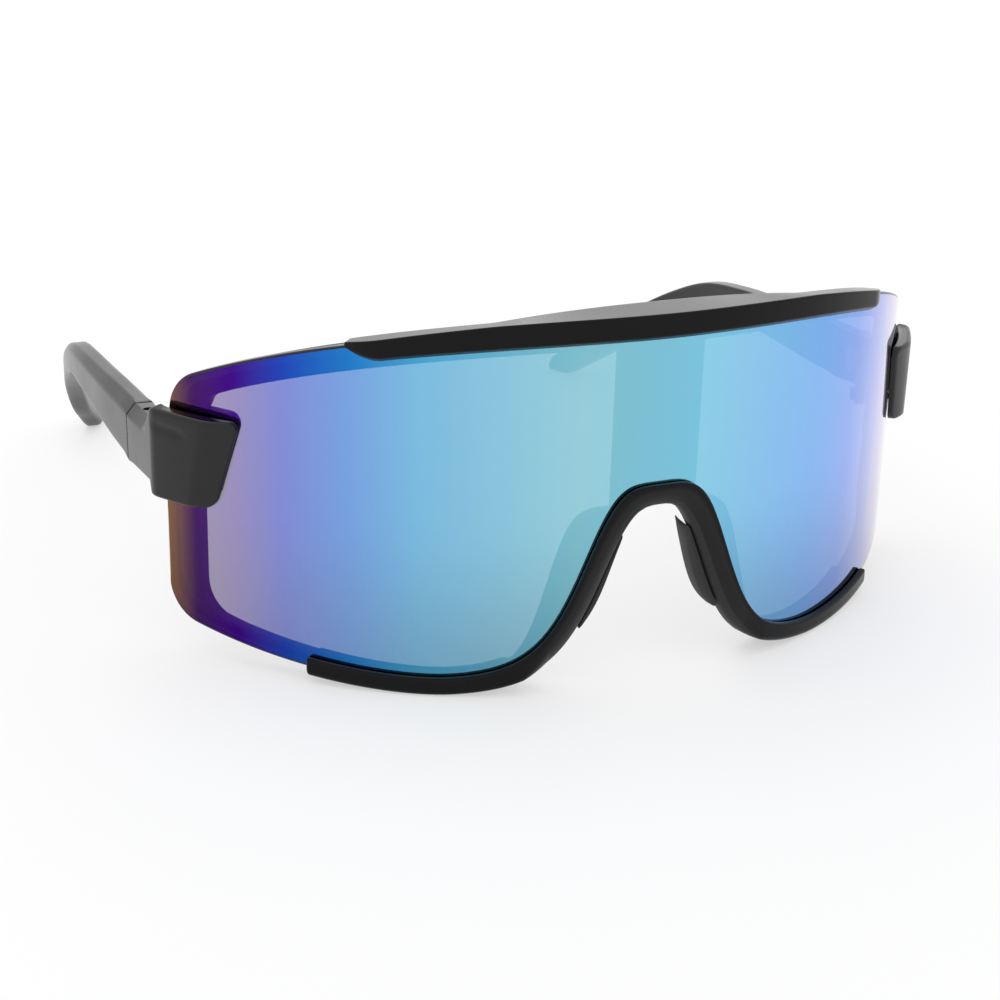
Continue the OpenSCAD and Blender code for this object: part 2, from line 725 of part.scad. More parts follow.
// Cross-section of the temple at share u; end is 1, or less at the round tip
temple_chamfer = 0.5;
tip_end_share = 0.4;
function temple_ring(u, end) =
    let (y = temple_y + temple_l * u,
         out = end_x - temple_sweep * pow(limit((u - sweep_from_share) / (1 - sweep_from_share)),
             sweep_power),
         full_t = mix(temple_t, tip_t, u),
         h = side_h * smooth(path_h_shares, u),
         mid = max(side_top * smooth(path_top_shares, u) - h / 2, h / 2 * end),
         t = full_t * mix(tip_end_share, 1, end),
         x = out - (full_t - t) / 2,
         up = mid + h / 2 * end, low = max(0, mid - h / 2 * end),
         c = temple_chamfer * end, slim = h * end / side_h)
    [[x, y, low + c], [x, y, up - bevel_h * slim], [x - bevel_w * slim * t / temple_t, y, up],
     [x - t + c, y, up], [x - t, y, up - c], [x - t, y, low + c],
     [x - t + c, y, low], [x - c, y, low]];

tip_share = 0.05;
tip_turn = 81;
temple_steps = 27;
tip_steps = 5;
module temple() {
    difference() {
        loft(concat(
            [for (i = [0 : temple_steps]) temple_ring(i / temple_steps * (1 - tip_share), 1)],
            [for (i = [1 : tip_steps])
                let (t = i / tip_steps * tip_turn)
                temple_ring(1 - tip_share + tip_share * sin(t) / sin(tip_turn), cos(t))]));
        leaf_plate();
    }
}

module temple_right() {
    color(satin) in_place() temple();
}

module temple_left() {
    color(satin) in_place() on_left() temple();
}

lens();
rear_frame();
brow_bar();
lower_rim();
nose_pad_left();
nose_pad_right();
endpiece_left();
endpiece_right();
clamp_screws();
hinge_screws();
hinge_leaf_left();
hinge_leaf_right();
temple_left();
temple_right();
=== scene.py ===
"""Looks of a pair of shield sunglasses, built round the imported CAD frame.

Laid out as a Blender add-on: sizes and colours are properties, each group of pieces has an
operator, and main() runs them in order. Lengths are metres, in the CAD model's frame: +Z up,
the wearer looks along -Y, and left and right are as seen from the front.
"""

import json
import math

import bmesh
import bpy
import numpy as np
from bpy.props import FloatProperty, FloatVectorProperty, PointerProperty
from mathutils import Matrix, Vector


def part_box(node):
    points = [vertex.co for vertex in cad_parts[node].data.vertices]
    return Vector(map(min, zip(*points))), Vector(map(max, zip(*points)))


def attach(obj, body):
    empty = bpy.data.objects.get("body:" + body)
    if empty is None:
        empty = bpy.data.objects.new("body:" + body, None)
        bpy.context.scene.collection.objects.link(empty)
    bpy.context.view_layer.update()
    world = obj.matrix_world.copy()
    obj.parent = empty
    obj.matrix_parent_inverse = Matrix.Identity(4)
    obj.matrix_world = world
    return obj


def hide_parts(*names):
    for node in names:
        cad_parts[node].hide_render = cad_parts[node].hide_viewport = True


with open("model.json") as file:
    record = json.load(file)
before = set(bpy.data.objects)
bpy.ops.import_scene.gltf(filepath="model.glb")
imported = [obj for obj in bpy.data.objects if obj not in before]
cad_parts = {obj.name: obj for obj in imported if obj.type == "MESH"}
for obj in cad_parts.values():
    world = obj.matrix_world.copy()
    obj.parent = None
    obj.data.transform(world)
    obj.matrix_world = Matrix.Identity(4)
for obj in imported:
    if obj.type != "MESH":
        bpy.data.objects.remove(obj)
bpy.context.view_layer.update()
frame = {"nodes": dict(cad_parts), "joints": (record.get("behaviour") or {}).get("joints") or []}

bl_info = {
    "name": "Shield sunglasses",
    "version": (1, 0, 0),
    "blender": (4, 5, 0),
    "location": "View3D > Sidebar > Sunglasses",
    "description": "Builds shield sunglasses with a mirror lens, and a plain studio",
    "category": "Object",
}

FRONT_BODY = "front"
SIDES = (("left", -1.0), ("right", 1.0))
# The lens's front vertex lies this far before the frame's origin
VERTEX_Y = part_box("lens")[0].y
# The hinge axes, from the joints' own places
HINGE_X = max(joint["pos_m"][0] for joint in frame["joints"])
HINGE_Y = frame["joints"][0]["pos_m"][1]
HINGE_Z = frame["joints"][0]["pos_m"][2]


def length(name, description, value, low, high):
    """A length property in metres."""
    return FloatProperty(name=name, description=description, default=value, min=low, max=high,
                         precision=5, subtype="DISTANCE", unit="LENGTH")


def colour(name, description, value):
    """A colour property."""
    return FloatVectorProperty(name=name, description=description, default=value, size=3,
                               min=0.0, max=1.0, subtype="COLOR")


class SUNGLASSES_PG_lens(bpy.types.PropertyGroup):
    """Sizes of the lens and of the frame's outline round it."""
    radius: length("Radius", "Radius of the front surface, seen from above", 0.080, 0.07, 0.12)
    half_arc: length("Half arc", "Arc length from the middle to a side edge", 0.0844, 0.07, 0.1)
    thickness: length("Thickness", "Thickness of the lens", 0.0016, 0.001, 0.003)
    top: length("Top", "Height of the middle of the top edge", 0.0616, 0.05, 0.07)
    top_fall: length("Top fall", "Fall of the top edge to the sides", 0.0154, 0.005, 0.025)
    low_rise: length("Low rise", "Rise of the bottom edge to the sides", 0.0063, 0.0, 0.02)
    rise_from: length("Rise from", "Arc length where that rise starts", 0.0335, 0.02, 0.05)
    lean: length("Lean", "How far each side leans in at its upper corner", 0.0013, 0.0, 0.004)
    corner_up: length("Upper corners", "Radius of the upper corners", 0.008, 0.003, 0.015)
    corner_low: length("Lower corners", "Radius of the lower corners", 0.007, 0.003, 0.015)
    edge_round: length("Edge", "Rounding of the cut edge", 0.0004, 0.0001, 0.0008)


class SUNGLASSES_PG_rim(bpy.types.PropertyGroup):
    """Sizes of the lower rim, the nose arch, the brow bar and the pads."""
    arc: length("Rim arc", "Arc length from the middle to an end of the rim", 0.0572, 0.05, 0.07)
    height: length("Rim height", "Height of its front beside the nose", 0.0023, 0.001, 0.005)
    proud: length("Rim proud", "How far the rim stands before the lens", 0.0013, 0.0005, 0.003)
    nose_height: length("Nose height", "Height of the arch under the rim", 0.0315, 0.02, 0.04)
    nose_half: length("Nose half width", "Half width at half that height", 0.0111, 0.005, 0.02)
    upper_height: length("Upper height", "Height of the arch's upper edge", 0.0324, 0.02, 0.04)
    upper_half: length("Upper half width", "Half width at half that height", 0.0139, 0.01, 0.02)
    rear_lip: length("Rear lip", "Distance from the lens's front to the rim's rear", 0.005, 0.004, 0.006)
    nose_lip: length("Nose lip", "The same distance beside the nose", 0.0029, 0.002, 0.004)
    bar_arc: length("Bar arc", "Arc length from the middle to a bar end", 0.0508, 0.04, 0.06)
    bar_end: length("Bar end", "Length of each slanted end of the bar", 0.0062, 0.002, 0.01)
    bar_proud: length("Bar proud", "How far the bar stands before the lens", 0.0026, 0.001, 0.005)
    bar_lip: length("Bar lip", "How far the bar's front hangs over the lens", 0.0027, 0.001, 0.005)
    bar_crown: length("Bar crown", "Height of the bar over the lens", 0.0016, 0.0005, 0.003)
    bar_end_crown: length("Bar end crown", "The same height at the ends", 0.0007, 0.0002, 0.003)
    bar_bevel: length("Bar bevel", "Height of the bevel under the bar's front", 0.0008, 0.0, 0.002)
    bar_back: length("Bar depth", "Depth behind the lens's front, at the middle", 0.005, 0.003, 0.007)
    bar_back_side: length("Bar side depth", "The same depth at the sides", 0.0026, 0.002, 0.005)
    pad_depth: length("Pad depth", "Depth of a nose pad, front to rear", 0.0095, 0.005, 0.015)
    pad_flare: length("Pad flare", "How far a pad's rear edge flares out", 0.0036, 0.0, 0.005)
    pad_thickness: length("Pad thickness", "Thickness of a nose pad", 0.0013, 0.001, 0.003)
    pad_from: length("Pad top", "Arc length to a pad's upper end", 0.006, 0.005, 0.008)
    pad_to: length("Pad bottom", "Arc length to a pad's lower end", 0.0128, 0.011, 0.02)


class SUNGLASSES_PG_arms(bpy.types.PropertyGroup):
    """Sizes of the endpieces and temples."""
    hinge_in: length("Hinge in", "Distance from the outer face in to the hinge", 0.0029, 0.002, 0.004)
    seam_back: length("Seam back", "Distance from the hinge back to the seam", 0.004, 0.003, 0.006)
    seam_gap: length("Seam gap", "Gap between endpiece and temple", 0.0002, 0.0001, 0.0005)
    side_height: length("Side height", "Height of the block at the seam", 0.01, 0.006, 0.02)
    thickness: length("Thickness", "Thickness of the block at the seam", 0.0046, 0.003, 0.008)
    side_wall: length("Side wall", "Thickness of the wall beside the lens", 0.0026, 0.002, 0.004)
    plate_proud: length("Plate proud", "How far the plate stands before the lens", 0.003, 0.002, 0.005)
    plate_height: length("Plate height", "Height of the front plate", 0.0152, 0.01, 0.02)
    plate_width: length("Plate width", "Length of the plate's top edge", 0.0158, 0.01, 0.025)
    plate_slant: length("Plate slant", "How much shorter the bottom edge is", 0.005, 0.0, 0.01)
    plate_tip: length("Plate tip", "How far its inner end stands before the lens", 0.001, 0.0005, 0.003)
    plate_taper: length("Plate taper", "Length over which the plate thins out there", 0.006, 0.001, 0.01)
    plate_up: length("Plate rise", "Height of the plate's middle over the hinge", 0.0021, 0.0, 0.004)
    bevel_width: length("Bevel width", "Width of the bevel on the outer top edge", 0.0016, 0.0, 0.003)
    bevel_height: length("Bevel height", "Height of the same bevel", 0.0019, 0.0, 0.003)
    temple_length: length("Temple length", "Length behind the seam", 0.102, 0.08, 0.12)
    tip_thickness: length("Tip thickness", "Thickness at the ear tip", 0.0034, 0.002, 0.006)
    sweep: length("Sweep", "How far the ear tip curves in", 0.0156, 0.0, 0.03)


class SUNGLASSES_PG_finish(bpy.types.PropertyGroup):
    """Colours of the plastics, the pads and the metal."""
    gloss_black: colour("Gloss black", "Brow bar and lower rim", (0.0025, 0.0025, 0.003))
    satin_black: colour("Satin black", "Endpieces and temples", (0.004, 0.004, 0.0042))
    rubber: colour("Rubber", "Nose pads", (0.03, 0.03, 0.031))
    steel: colour("Steel", "Screws and hinge leaves", (0.32, 0.32, 0.33))
    lens_inside: colour("Lens inside", "Smoke tint of the lens from behind", (0.02, 0.019, 0.02))
    floor: colour("Floor", "Floor and backdrop", (0.93, 0.93, 0.935))


def sizes(group):
    """One of the scene's property groups: lens, rim, arms or finish."""
    return getattr(bpy.context.scene, "glasses_" + group)


# Curves and outlines, all as functions of arrays of arc length round the lens's front

GAP = 0.00025
TOP_POWER, RISE_POWER = 2.6, 1.5
NOSE_LOW_POWER, NOSE_UP_POWER = 3.1, 4.1
SEAT_SHARE = 0.35


def mix(a, b, share):
    """A value between a and b."""
    return a + (b - a) * share


def limit(value):
    """Value held between 0 and 1."""
    return np.clip(value, 0.0, 1.0)


def ease(value):
    """Smooth step from 0 to 1: three squares less two cubes."""
    value = limit(value)
    return value * value * (3.0 - 2.0 * value)


def bump(value, middle, width):
    """Bell curve of height 1: e to the minus square of the distance over the width."""
    return np.exp(-((value - middle) / width) ** 2)


def arch(s, height, half, power):
    """Flat-topped arch: the height over one plus the power of arc length over half width."""
    return height / (1.0 + (np.abs(s) / half) ** power)


def on_lens(s, off, z):
    """Points at arc length s round the lens, off before its front surface, at height z."""
    radius = sizes("lens").radius
    angle = s / radius
    s, off, z = np.broadcast_arrays(s, off, z)
    return np.stack([(radius + off) * np.sin(angle),
                     VERTEX_Y + radius - (radius + off) * np.cos(angle), z], axis=-1)


def rise(s):
    """Rise of the bottom edges to the sides: a power curve from where it starts."""
    lens = sizes("lens")
    share = limit((np.abs(s) - lens.rise_from) / (lens.half_arc - lens.rise_from))
    return lens.low_rise * share ** RISE_POWER


def rim_low(s):
    """Lower edge of the rim: the side rise plus the nose arch, standing on the ground."""
    rim = sizes("rim")
    side = np.linspace(rim.upper_half, rim.arc, 400)
    foot = np.min(rise(side) + arch(side, rim.nose_height, rim.nose_half, NOSE_LOW_POWER))
    return rise(s) + arch(s, rim.nose_height, rim.nose_half, NOSE_LOW_POWER) - foot


def rim_up(s):
    """Upper edge of the rim's front: the side rise plus the wider upper arch."""
    rim = sizes("rim")
    return rim.height + rise(s) + arch(s, rim.upper_height, rim.upper_half, NOSE_UP_POWER)


def rim_at(s, share):
    """Height between the rim's lower and upper edge."""
    return mix(rim_low(s), rim_up(s), share)


def top_edge(s):
    """Top edge of the lens without its corners."""
    lens = sizes("lens")
    return lens.top - lens.top_fall * (np.abs(s) / lens.half_arc) ** TOP_POWER


def lens_up(s):
    """Top edge of the lens: the top curve, a round corner, then the leaning side."""
    lens = sizes("lens")
    s = np.abs(s)
    tilt = math.atan(lens.top_fall * TOP_POWER / lens.half_arc)
    r = lens.corner_up
    mid_s = lens.half_arc - lens.lean - r
    from_s = mid_s + r * math.sin(tilt)
    mid_z = top_edge(np.float64(from_s)) - r * math.cos(tilt)
    corner = mid_z + np.sqrt(np.maximum(0.0, r * r - (s - mid_s) ** 2))
    side = mix(mid_z, (mid_z + lens.corner_low) / 2.0, limit((s - mid_s - r) / lens.lean))
    return np.where(s <= from_s, top_edge(s), np.where(s <= mid_s + r, corner, side))


def lens_low(s):
    """Bottom edge of the lens: seated in the rim, then a round corner."""
    lens = sizes("lens")
    s = np.abs(s)
    tilt = math.atan(lens.low_rise * RISE_POWER / (lens.half_arc - lens.rise_from))
    r = lens.corner_low
    mid_s = lens.half_arc - r
    from_s = mid_s + r * math.sin(tilt)
    mid_z = rim_at(np.float64(from_s), SEAT_SHARE) + r * math.cos(tilt)
    corner = mid_z - np.sqrt(np.maximum(0.0, r * r - (s - mid_s) ** 2))
    return np.where(s <= from_s, rim_at(s, SEAT_SHARE), corner)


# Meshes

def add_piece(name, points, faces, materials, body, nodes):
    """Mesh object at the origin with smooth shading, tied to its CAD body and nodes."""
    mesh = bpy.data.meshes.new(name)
    mesh.from_pydata(points.reshape(-1, 3).tolist(), [], faces)
    mesh.validate()
    mesh.polygons.foreach_set("use_smooth", np.ones(len(mesh.polygons), dtype=bool))
    piece = bpy.data.objects.new(name, mesh)
    bpy.context.scene.collection.objects.link(piece)
    for material in materials:
        mesh.materials.append(material)
    finish_piece(piece, body, nodes)
    return piece


def finish_piece(piece, body, nodes):
    """Sharp edges where faces turn by more than SHARP_ANGLE, then the ties to the frame."""
    piece.data.set_sharp_from_angle(angle=SHARP_ANGLE)
    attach(piece, body)
    if nodes:
        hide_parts(*nodes)


SHARP_ANGLE = math.radians(32.0)


def grid_quads(rows, columns):
    """Quads of a grid whose columns close round: each cell joins four neighbours."""
    i, j = np.meshgrid(np.arange(rows - 1), np.arange(columns), indexing="ij")
    k = (j + 1) % columns
    return np.stack([i * columns + j, i * columns + k, (i + 1) * columns + k,
                     (i + 1) * columns + j], axis=-1).reshape(-1, 4)


def volume(points, quads):
    """Signed volume: the sum over quads of the box product of their corners."""
    a, b, c, d = (points[quads[:, n]] for n in range(4))
    return float(np.sum(np.cross(b - a, c - a) * a) + np.sum(np.cross(c - a, d - a) * a))


def loft(rings):
    """Closed surface through rings of points (rings, columns, 3): quads, and a face at each
    end. Turned inside out where its volume would be negative. Returns points and faces."""
    rows, columns = rings.shape[:2]
    points = rings.reshape(-1, 3)
    quads = grid_quads(rows, columns)
    ends = [list(range(columns))[::-1], list(range((rows - 1) * columns, rows * columns))]
    if volume(points, quads) < 0.0:
        quads = quads[:, ::-1]
        ends = [end[::-1] for end in ends]
    return points, quads.tolist() + ends


def round_corners(corners, radii, steps=4, fills=None):
    """Rings of corners (rings, m, 2) with each corner rounded by a quadratic Bezier curve
    between points at its radius along both sides. One point more beyond each end keeps flat
    sides flat, and fills adds points along the side after a corner."""
    radii = np.broadcast_to(np.asarray(radii, dtype=float), corners.shape[:2])[..., None]
    before, after = np.roll(corners, 1, axis=1) - corners, np.roll(corners, -1, axis=1) - corners
    reach = []
    for side in (before, after):
        size = np.maximum(np.linalg.norm(side, axis=2, keepdims=True), 1e-9)
        reach.append(side / size * np.minimum(radii, CORNER_SHARE * size))
    t = np.linspace(0.0, 1.0, steps + 1)
    parts = []
    for m in range(corners.shape[1]):
        at, start, end = corners[:, m], reach[0][:, m], reach[1][:, m]
        curve = [at + (1.0 - v) ** 2 * start + v ** 2 * end for v in t]
        parts += [at + start * LEAD, *curve, at + end * LEAD]
        count = (fills or {}).get(m, 0)
        if count:
            tail = at + end * LEAD
            following = (m + 1) % corners.shape[1]
            lead = corners[:, following] + reach[0][:, following] * LEAD
            parts += [mix(tail, lead, (n + 1) / (count + 1)) for n in range(count)]
    return np.stack(parts, axis=1)


CORNER_SHARE = 0.4
LEAD = 1.15


def round_end(distance, radius):
    """How far a surface draws in near a rounded end: a quarter circle."""
    d = np.clip(distance, 0.0, radius)
    return radius - np.sqrt(np.maximum(0.0, radius ** 2 - (radius - d) ** 2))


def end_stations(radius, steps=5):
    """Distances from an end that follow a quarter circle."""
    return radius * (1.0 - np.cos(np.linspace(0.0, math.pi / 2.0, steps + 1)))


def mirrored(points, side):
    """The right side's points, or their mirror image for the left side."""
    return points * np.array([side, 1.0, 1.0])


def cylinder_mesh(name, centre, radius, low, high, count=48):
    """Closed upright cylinder for a cut."""
    angle = np.linspace(0.0, 2.0 * math.pi, count, endpoint=False)
    ring = np.stack([centre[0] + radius * np.cos(angle), centre[1] + radius * np.sin(angle)], 1)
    rings = np.stack([np.column_stack([ring, np.full(count, z)]) for z in (low, high)])
    return plain_object(name, *loft(rings))


def box_mesh(name, low, high):
    """Closed box for a cut."""
    (x0, y0, z0), (x1, y1, z1) = low, high
    ring = np.array([[x0, y0], [x1, y0], [x1, y1], [x0, y1]])
    rings = np.stack([np.column_stack([ring, np.full(4, z)]) for z in (z0, z1)])
    return plain_object(name, *loft(rings))


def plain_object(name, points, faces):
    """Plain object, for a cut or the floor."""
    mesh = bpy.data.meshes.new(name)
    mesh.from_pydata(points.tolist(), [], faces)
    made = bpy.data.objects.new(name, mesh)
    bpy.context.scene.collection.objects.link(made)
    return made


def cut(piece, tools, operation="DIFFERENCE"):
    """Applies the cutters to the piece's mesh and deletes them."""
    for tool in tools:
        modifier = piece.modifiers.new("cut", "BOOLEAN")
        modifier.operation = operation
        modifier.solver = "EXACT"
        modifier.object = tool
    bake_modifiers(piece)
    for tool in tools:
        mesh = tool.data
        bpy.data.objects.remove(tool)
        bpy.data.meshes.remove(mesh)


def bake_modifiers(piece):
    """Puts the result of the piece's modifiers into its mesh."""
    bpy.context.view_layer.update()
    shape = piece.evaluated_get(bpy.context.evaluated_depsgraph_get())
    mesh = bpy.data.meshes.new_from_object(shape)
    old = piece.data
    piece.modifiers.clear()
    piece.data = mesh
    bpy.data.meshes.remove(old)
    mesh.set_sharp_from_angle(angle=SHARP_ANGLE)


def dressed_copy(node, name, material, body, bevel):
    """Copy of a CAD node with its loose triangles merged and its edges rounded."""
    mesh = frame["nodes"][node].data.copy()
    shape = bmesh.new()
    shape.from_mesh(mesh)
    bmesh.ops.remove_doubles(shape, verts=shape.verts, dist=1e-6)
    bmesh.ops.dissolve_limit(shape, angle_limit=math.radians(0.5), verts=shape.verts,
                             edges=shape.edges)
    for face in shape.faces:
        face.smooth = True
    shape.to_mesh(mesh)
    shape.free()
    mesh.materials.clear()
    mesh.materials.append(material)
    piece = bpy.data.objects.new(name, mesh)
    bpy.context.scene.collection.objects.link(piece)
    if bevel:
        modifier = piece.modifiers.new("rounded edges", "BEVEL")
        modifier.width = bevel
        modifier.segments = 2
        modifier.limit_method = "ANGLE"
        modifier.angle_limit = math.radians(40.0)
        bake_modifiers(piece)
    finish_piece(piece, body, [node])
    return piece


# Materials

def new_material(name):
    """Empty node material; returns it and its node tree."""
    material = bpy.data.materials.new(name)
    material.use_nodes = True
    material.node_tree.nodes.clear()
    return material, material.node_tree


def add_node(tree, kind, sockets=None, **settings):
    """New node with its own settings. sockets gives each input, by name or number, a value or
    the output that feeds it."""
    node = tree.nodes.new(kind)
    for name, value in settings.items():
        setattr(node, name, value)
    for name, value in (sockets or {}).items():
        if isinstance(value, bpy.types.NodeSocket):
            tree.links.new(value, node.inputs[name])
        else:
            node.inputs[name].default_value = value
    return node


def shader(tree, roughness, **constants):
    """Principled shader on the output, with constants on its own sockets."""
    principled = add_node(tree, "ShaderNodeBsdfPrincipled", {"Roughness": roughness})
    for socket, value in constants.items():
        principled.inputs[socket.replace("_", " ")].default_value = value
    add_node(tree, "ShaderNodeOutputMaterial", {"Surface": principled.outputs["BSDF"]})
    return principled


def surface_group():
    """Moulded surface, shared by all plastics, rubber and steel: two noises give a height
    for a bump, a colour between two tones and a roughness between two values."""
    name = "moulded surface"
    if name in bpy.data.node_groups:
        return bpy.data.node_groups[name]
    group = bpy.data.node_groups.new(name, "ShaderNodeTree")
    face = group.interface
    for label, value in (("Grain size", 3000.0), ("Cloud size", 60.0), ("Rough low", 0.3),
                         ("Rough high", 0.4)):
        face.new_socket(label, in_out="INPUT", socket_type="NodeSocketFloat").default_value = value
    for label in ("Tone low", "Tone high"):
        face.new_socket(label, in_out="INPUT", socket_type="NodeSocketColor")
    for label, kind in (("Colour", "Color"), ("Roughness", "Float"), ("Height", "Float")):
        face.new_socket(label, in_out="OUTPUT", socket_type="NodeSocket" + kind)
    given = group.nodes.new("NodeGroupInput").outputs
    place = add_node(group, "ShaderNodeTexCoord").outputs["Object"]
    grain, cloud = (
        add_node(group, "ShaderNodeTexNoise",
                 {"Vector": place, "Scale": given[size], "Detail": detail}).outputs["Fac"]
        for size, detail in (("Grain size", 3.0), ("Cloud size", 4.0)))
    spread = add_node(group, "ShaderNodeMapRange",
                      {"Value": cloud, "From Min": 0.3, "From Max": 0.7}).outputs["Result"]
    rough = add_node(group, "ShaderNodeMapRange",
                     {"Value": spread, "To Min": given["Rough low"],
                      "To Max": given["Rough high"]})
    both = add_node(group, "ShaderNodeMath", {0: grain, 1: spread}, operation="MULTIPLY")
    tone = add_node(group, "ShaderNodeMix",
                    {"Factor": both.outputs["Value"], "A": given["Tone low"],
                     "B": given["Tone high"]}, data_type="RGBA")
    add_node(group, "NodeGroupOutput",
             {"Colour": tone.outputs["Result"], "Roughness": rough.outputs["Result"],
              "Height": grain})
    return group


def moulded(name, base, rough, grain, depth, **constants):
    """Moulded material: base colour varied by TONE_SPREAD, a roughness range, grains per metre
    and the depth of the grain in metres."""
    if name in bpy.data.materials:
        return bpy.data.materials[name]
    material, tree = new_material(name)
    principled = shader(tree, rough[0], **constants)
    low, high = ((*(min(1.0, channel * scale) for channel in base), 1.0)
                 for scale in (1.0 - TONE_SPREAD, 1.0 + TONE_SPREAD))
    surface = add_node(tree, "ShaderNodeGroup",
                       {"Grain size": grain, "Rough low": rough[0], "Rough high": rough[1],
                        "Tone low": low, "Tone high": high}, node_tree=surface_group())
    relief = add_node(tree, "ShaderNodeBump",
                      {"Strength": RELIEF, "Distance": depth,
                       "Height": surface.outputs["Height"]})
    tree.links.new(surface.outputs["Colour"], principled.inputs["Base Color"])
    tree.links.new(surface.outputs["Roughness"], principled.inputs["Roughness"])
    tree.links.new(relief.outputs["Normal"], principled.inputs["Normal"])
    return material


TONE_SPREAD = 0.35
RELIEF = 0.6


def gloss_black():
    """Smooth black nylon of the brow bar and the lower rim."""
    return moulded("gloss black nylon", sizes("finish").gloss_black, (0.14, 0.22), 5000.0,
                   0.00001, Specular_IOR_Level=0.16)


def matt_black():
    """Matt black nylon of the rear frame, which stays dark behind the lens."""
    return moulded("matt black nylon", sizes("finish").gloss_black, (0.5, 0.6), 4000.0,
                   0.00002, Specular_IOR_Level=0.12)


def rim_black():
    """Smooth black nylon, blended into soft rubber by the piece's own attribute."""
    material = gloss_black().copy()
    material.name = "rim nylon and rubber"
    tree = material.node_tree
    principled = tree.nodes["Principled BSDF"]
    soft = add_node(tree, "ShaderNodeAttribute", attribute_name="soft").outputs["Fac"]
    for socket, kind, value in (("Base Color", "RGBA", (*sizes("finish").rubber, 1.0)),
                                ("Roughness", "FLOAT", SOFT_ROUGHNESS)):
        source = principled.inputs[socket].links[0].from_socket
        blend = add_node(tree, "ShaderNodeMix", {"Factor": soft, "A": source, "B": value},
                         data_type=kind)
        tree.links.new(blend.outputs["Result"], principled.inputs[socket])
    return material


SOFT_ROUGHNESS = 0.5


def satin_black():
    """Finely grained black nylon of the endpieces and temples."""
    return moulded("satin black nylon", sizes("finish").satin_black, (0.2, 0.3), 4200.0,
                   0.00001, Specular_IOR_Level=0.4)


def soft_rubber():
    """Matte rubber of the nose pads."""
    return moulded("soft rubber", sizes("finish").rubber, (0.6, 0.72), 3500.0, 0.00003,
                   Specular_IOR_Level=0.3)


def dark_steel():
    """Blackened steel of the screws and hinge leaves."""
    return moulded("dark steel", sizes("finish").steel, (0.3, 0.42), 2500.0, 0.00001,
                   Metallic=1.0)


# Angle round the lens in degrees, the coating's own colour there, and the share of the light
# that it reflects or stops: bronze, plum, violet and deep blue at the left edge, sky blue over
# the middle, then lilac and nearly white at the right edge
COAT = (
    (-60, (0.4, 0.2, 0.1), 0.55),
    (-56, (0.1, 0.02, 0.2), 0.55),
    (-50, (0.08, 0.0, 0.4), 0.6),
    (-44, (0.02, 0.08, 0.65), 0.7),
    (-36, (0.02, 0.25, 0.75), 0.75),
    (-28, (0.08, 0.45, 0.75), 0.8),
    (-10, (0.25, 0.6, 0.7), 0.85),
    (5, (0.22, 0.6, 0.8), 0.9),
    (24, (0.2, 0.45, 0.9), 0.9),
    (32, (0.25, 0.4, 0.9), 0.9),
    (40, (0.45, 0.5, 0.9), 0.95),
    (46, (0.7, 0.65, 0.9), 0.95),
    (52, (0.8, 0.8, 0.9), 0.95),
)
# Painted shade: the coating's colour is multiplied down to this share at the floor, standing in for the
# reflection of the shadowed floor, and is full at this height
PAINTED_SHADE_LOW, PAINTED_SHADE_HEIGHT = 0.72, 0.033
COAT_ROUGHNESS = 0.04
INSIDE_ALPHA = 0.5
# Degrees that the ramp runs on beyond each side edge
RAMP_MARGIN = 0.5


def ramp_round_lens(tree, stops):
    """Colour ramp over the angle round the lens's axis, from Object coordinates."""
    lens = sizes("lens")
    half = math.degrees(lens.half_arc / lens.radius) + RAMP_MARGIN
    place = add_node(tree, "ShaderNodeTexCoord").outputs["Object"]
    parts = add_node(tree, "ShaderNodeSeparateXYZ", {"Vector": place})
    depth = add_node(tree, "ShaderNodeMath",
                     {0: VERTEX_Y + lens.radius, 1: parts.outputs["Y"]}, operation="SUBTRACT")
    angle = add_node(tree, "ShaderNodeMath",
                     {0: parts.outputs["X"], 1: depth.outputs["Value"]}, operation="ARCTAN2")
    share = add_node(tree, "ShaderNodeMapRange",
                     {"Value": angle.outputs["Value"], "From Min": math.radians(-half),
                      "From Max": math.radians(half)})
    ramp = add_node(tree, "ShaderNodeValToRGB", {"Fac": share.outputs["Result"]})
    elements = ramp.color_ramp.elements
    elements.remove(elements[1])
    for number, (degrees, value) in enumerate(stops):
        position = (degrees + half) / (2.0 * half)
        element = elements.new(position) if number else elements[0]
        element.position = position
        element.color = (*value, 1.0)
    return ramp, parts


def mirror_coat():
    """Metallic mirror coating that lets a little light through. Its colour follows the angle
    round the lens, with painted shade that darkens it a little to the bottom for the reflected floor's
    shadow. From behind it is a smoke tint."""
    material, tree = new_material("mirror coating")
    principled = shader(tree, COAT_ROUGHNESS)
    ramp, parts = ramp_round_lens(tree, [(at, tone) for at, tone, _ in COAT])
    cover, _ = ramp_round_lens(tree, [(at, (share,) * 3) for at, _, share in COAT])
    # Painted shade: the colour is multiplied darker towards the floor, standing in for the shadowed
    # floor that the lens reflects
    height = add_node(tree, "ShaderNodeMapRange",
                      {"Value": parts.outputs["Z"], "From Min": 0.0, "From Max": PAINTED_SHADE_HEIGHT,
                       "To Min": PAINTED_SHADE_LOW}, interpolation_type="SMOOTHSTEP")
    shade = add_node(tree, "ShaderNodeMix",
                     {"Factor": 1.0, "A": ramp.outputs["Color"],
                      "B": height.outputs["Result"]}, data_type="RGBA", blend_type="MULTIPLY")
    behind = add_node(tree, "ShaderNodeNewGeometry").outputs["Backfacing"]
    both = add_node(tree, "ShaderNodeMix",
                    {"Factor": behind, "A": shade.outputs["Result"],
                     "B": (*sizes("finish").lens_inside, 1.0)}, data_type="RGBA")
    metal = add_node(tree, "ShaderNodeMath", {0: 1.0, 1: behind}, operation="SUBTRACT")
    alpha = add_node(tree, "ShaderNodeMix",
                     {"Factor": behind, "A": cover.outputs["Color"], "B": INSIDE_ALPHA})
    tree.links.new(both.outputs["Result"], principled.inputs["Base Color"])
    tree.links.new(metal.outputs["Value"], principled.inputs["Metallic"])
    tree.links.new(alpha.outputs["Result"], principled.inputs["Alpha"])
    return material


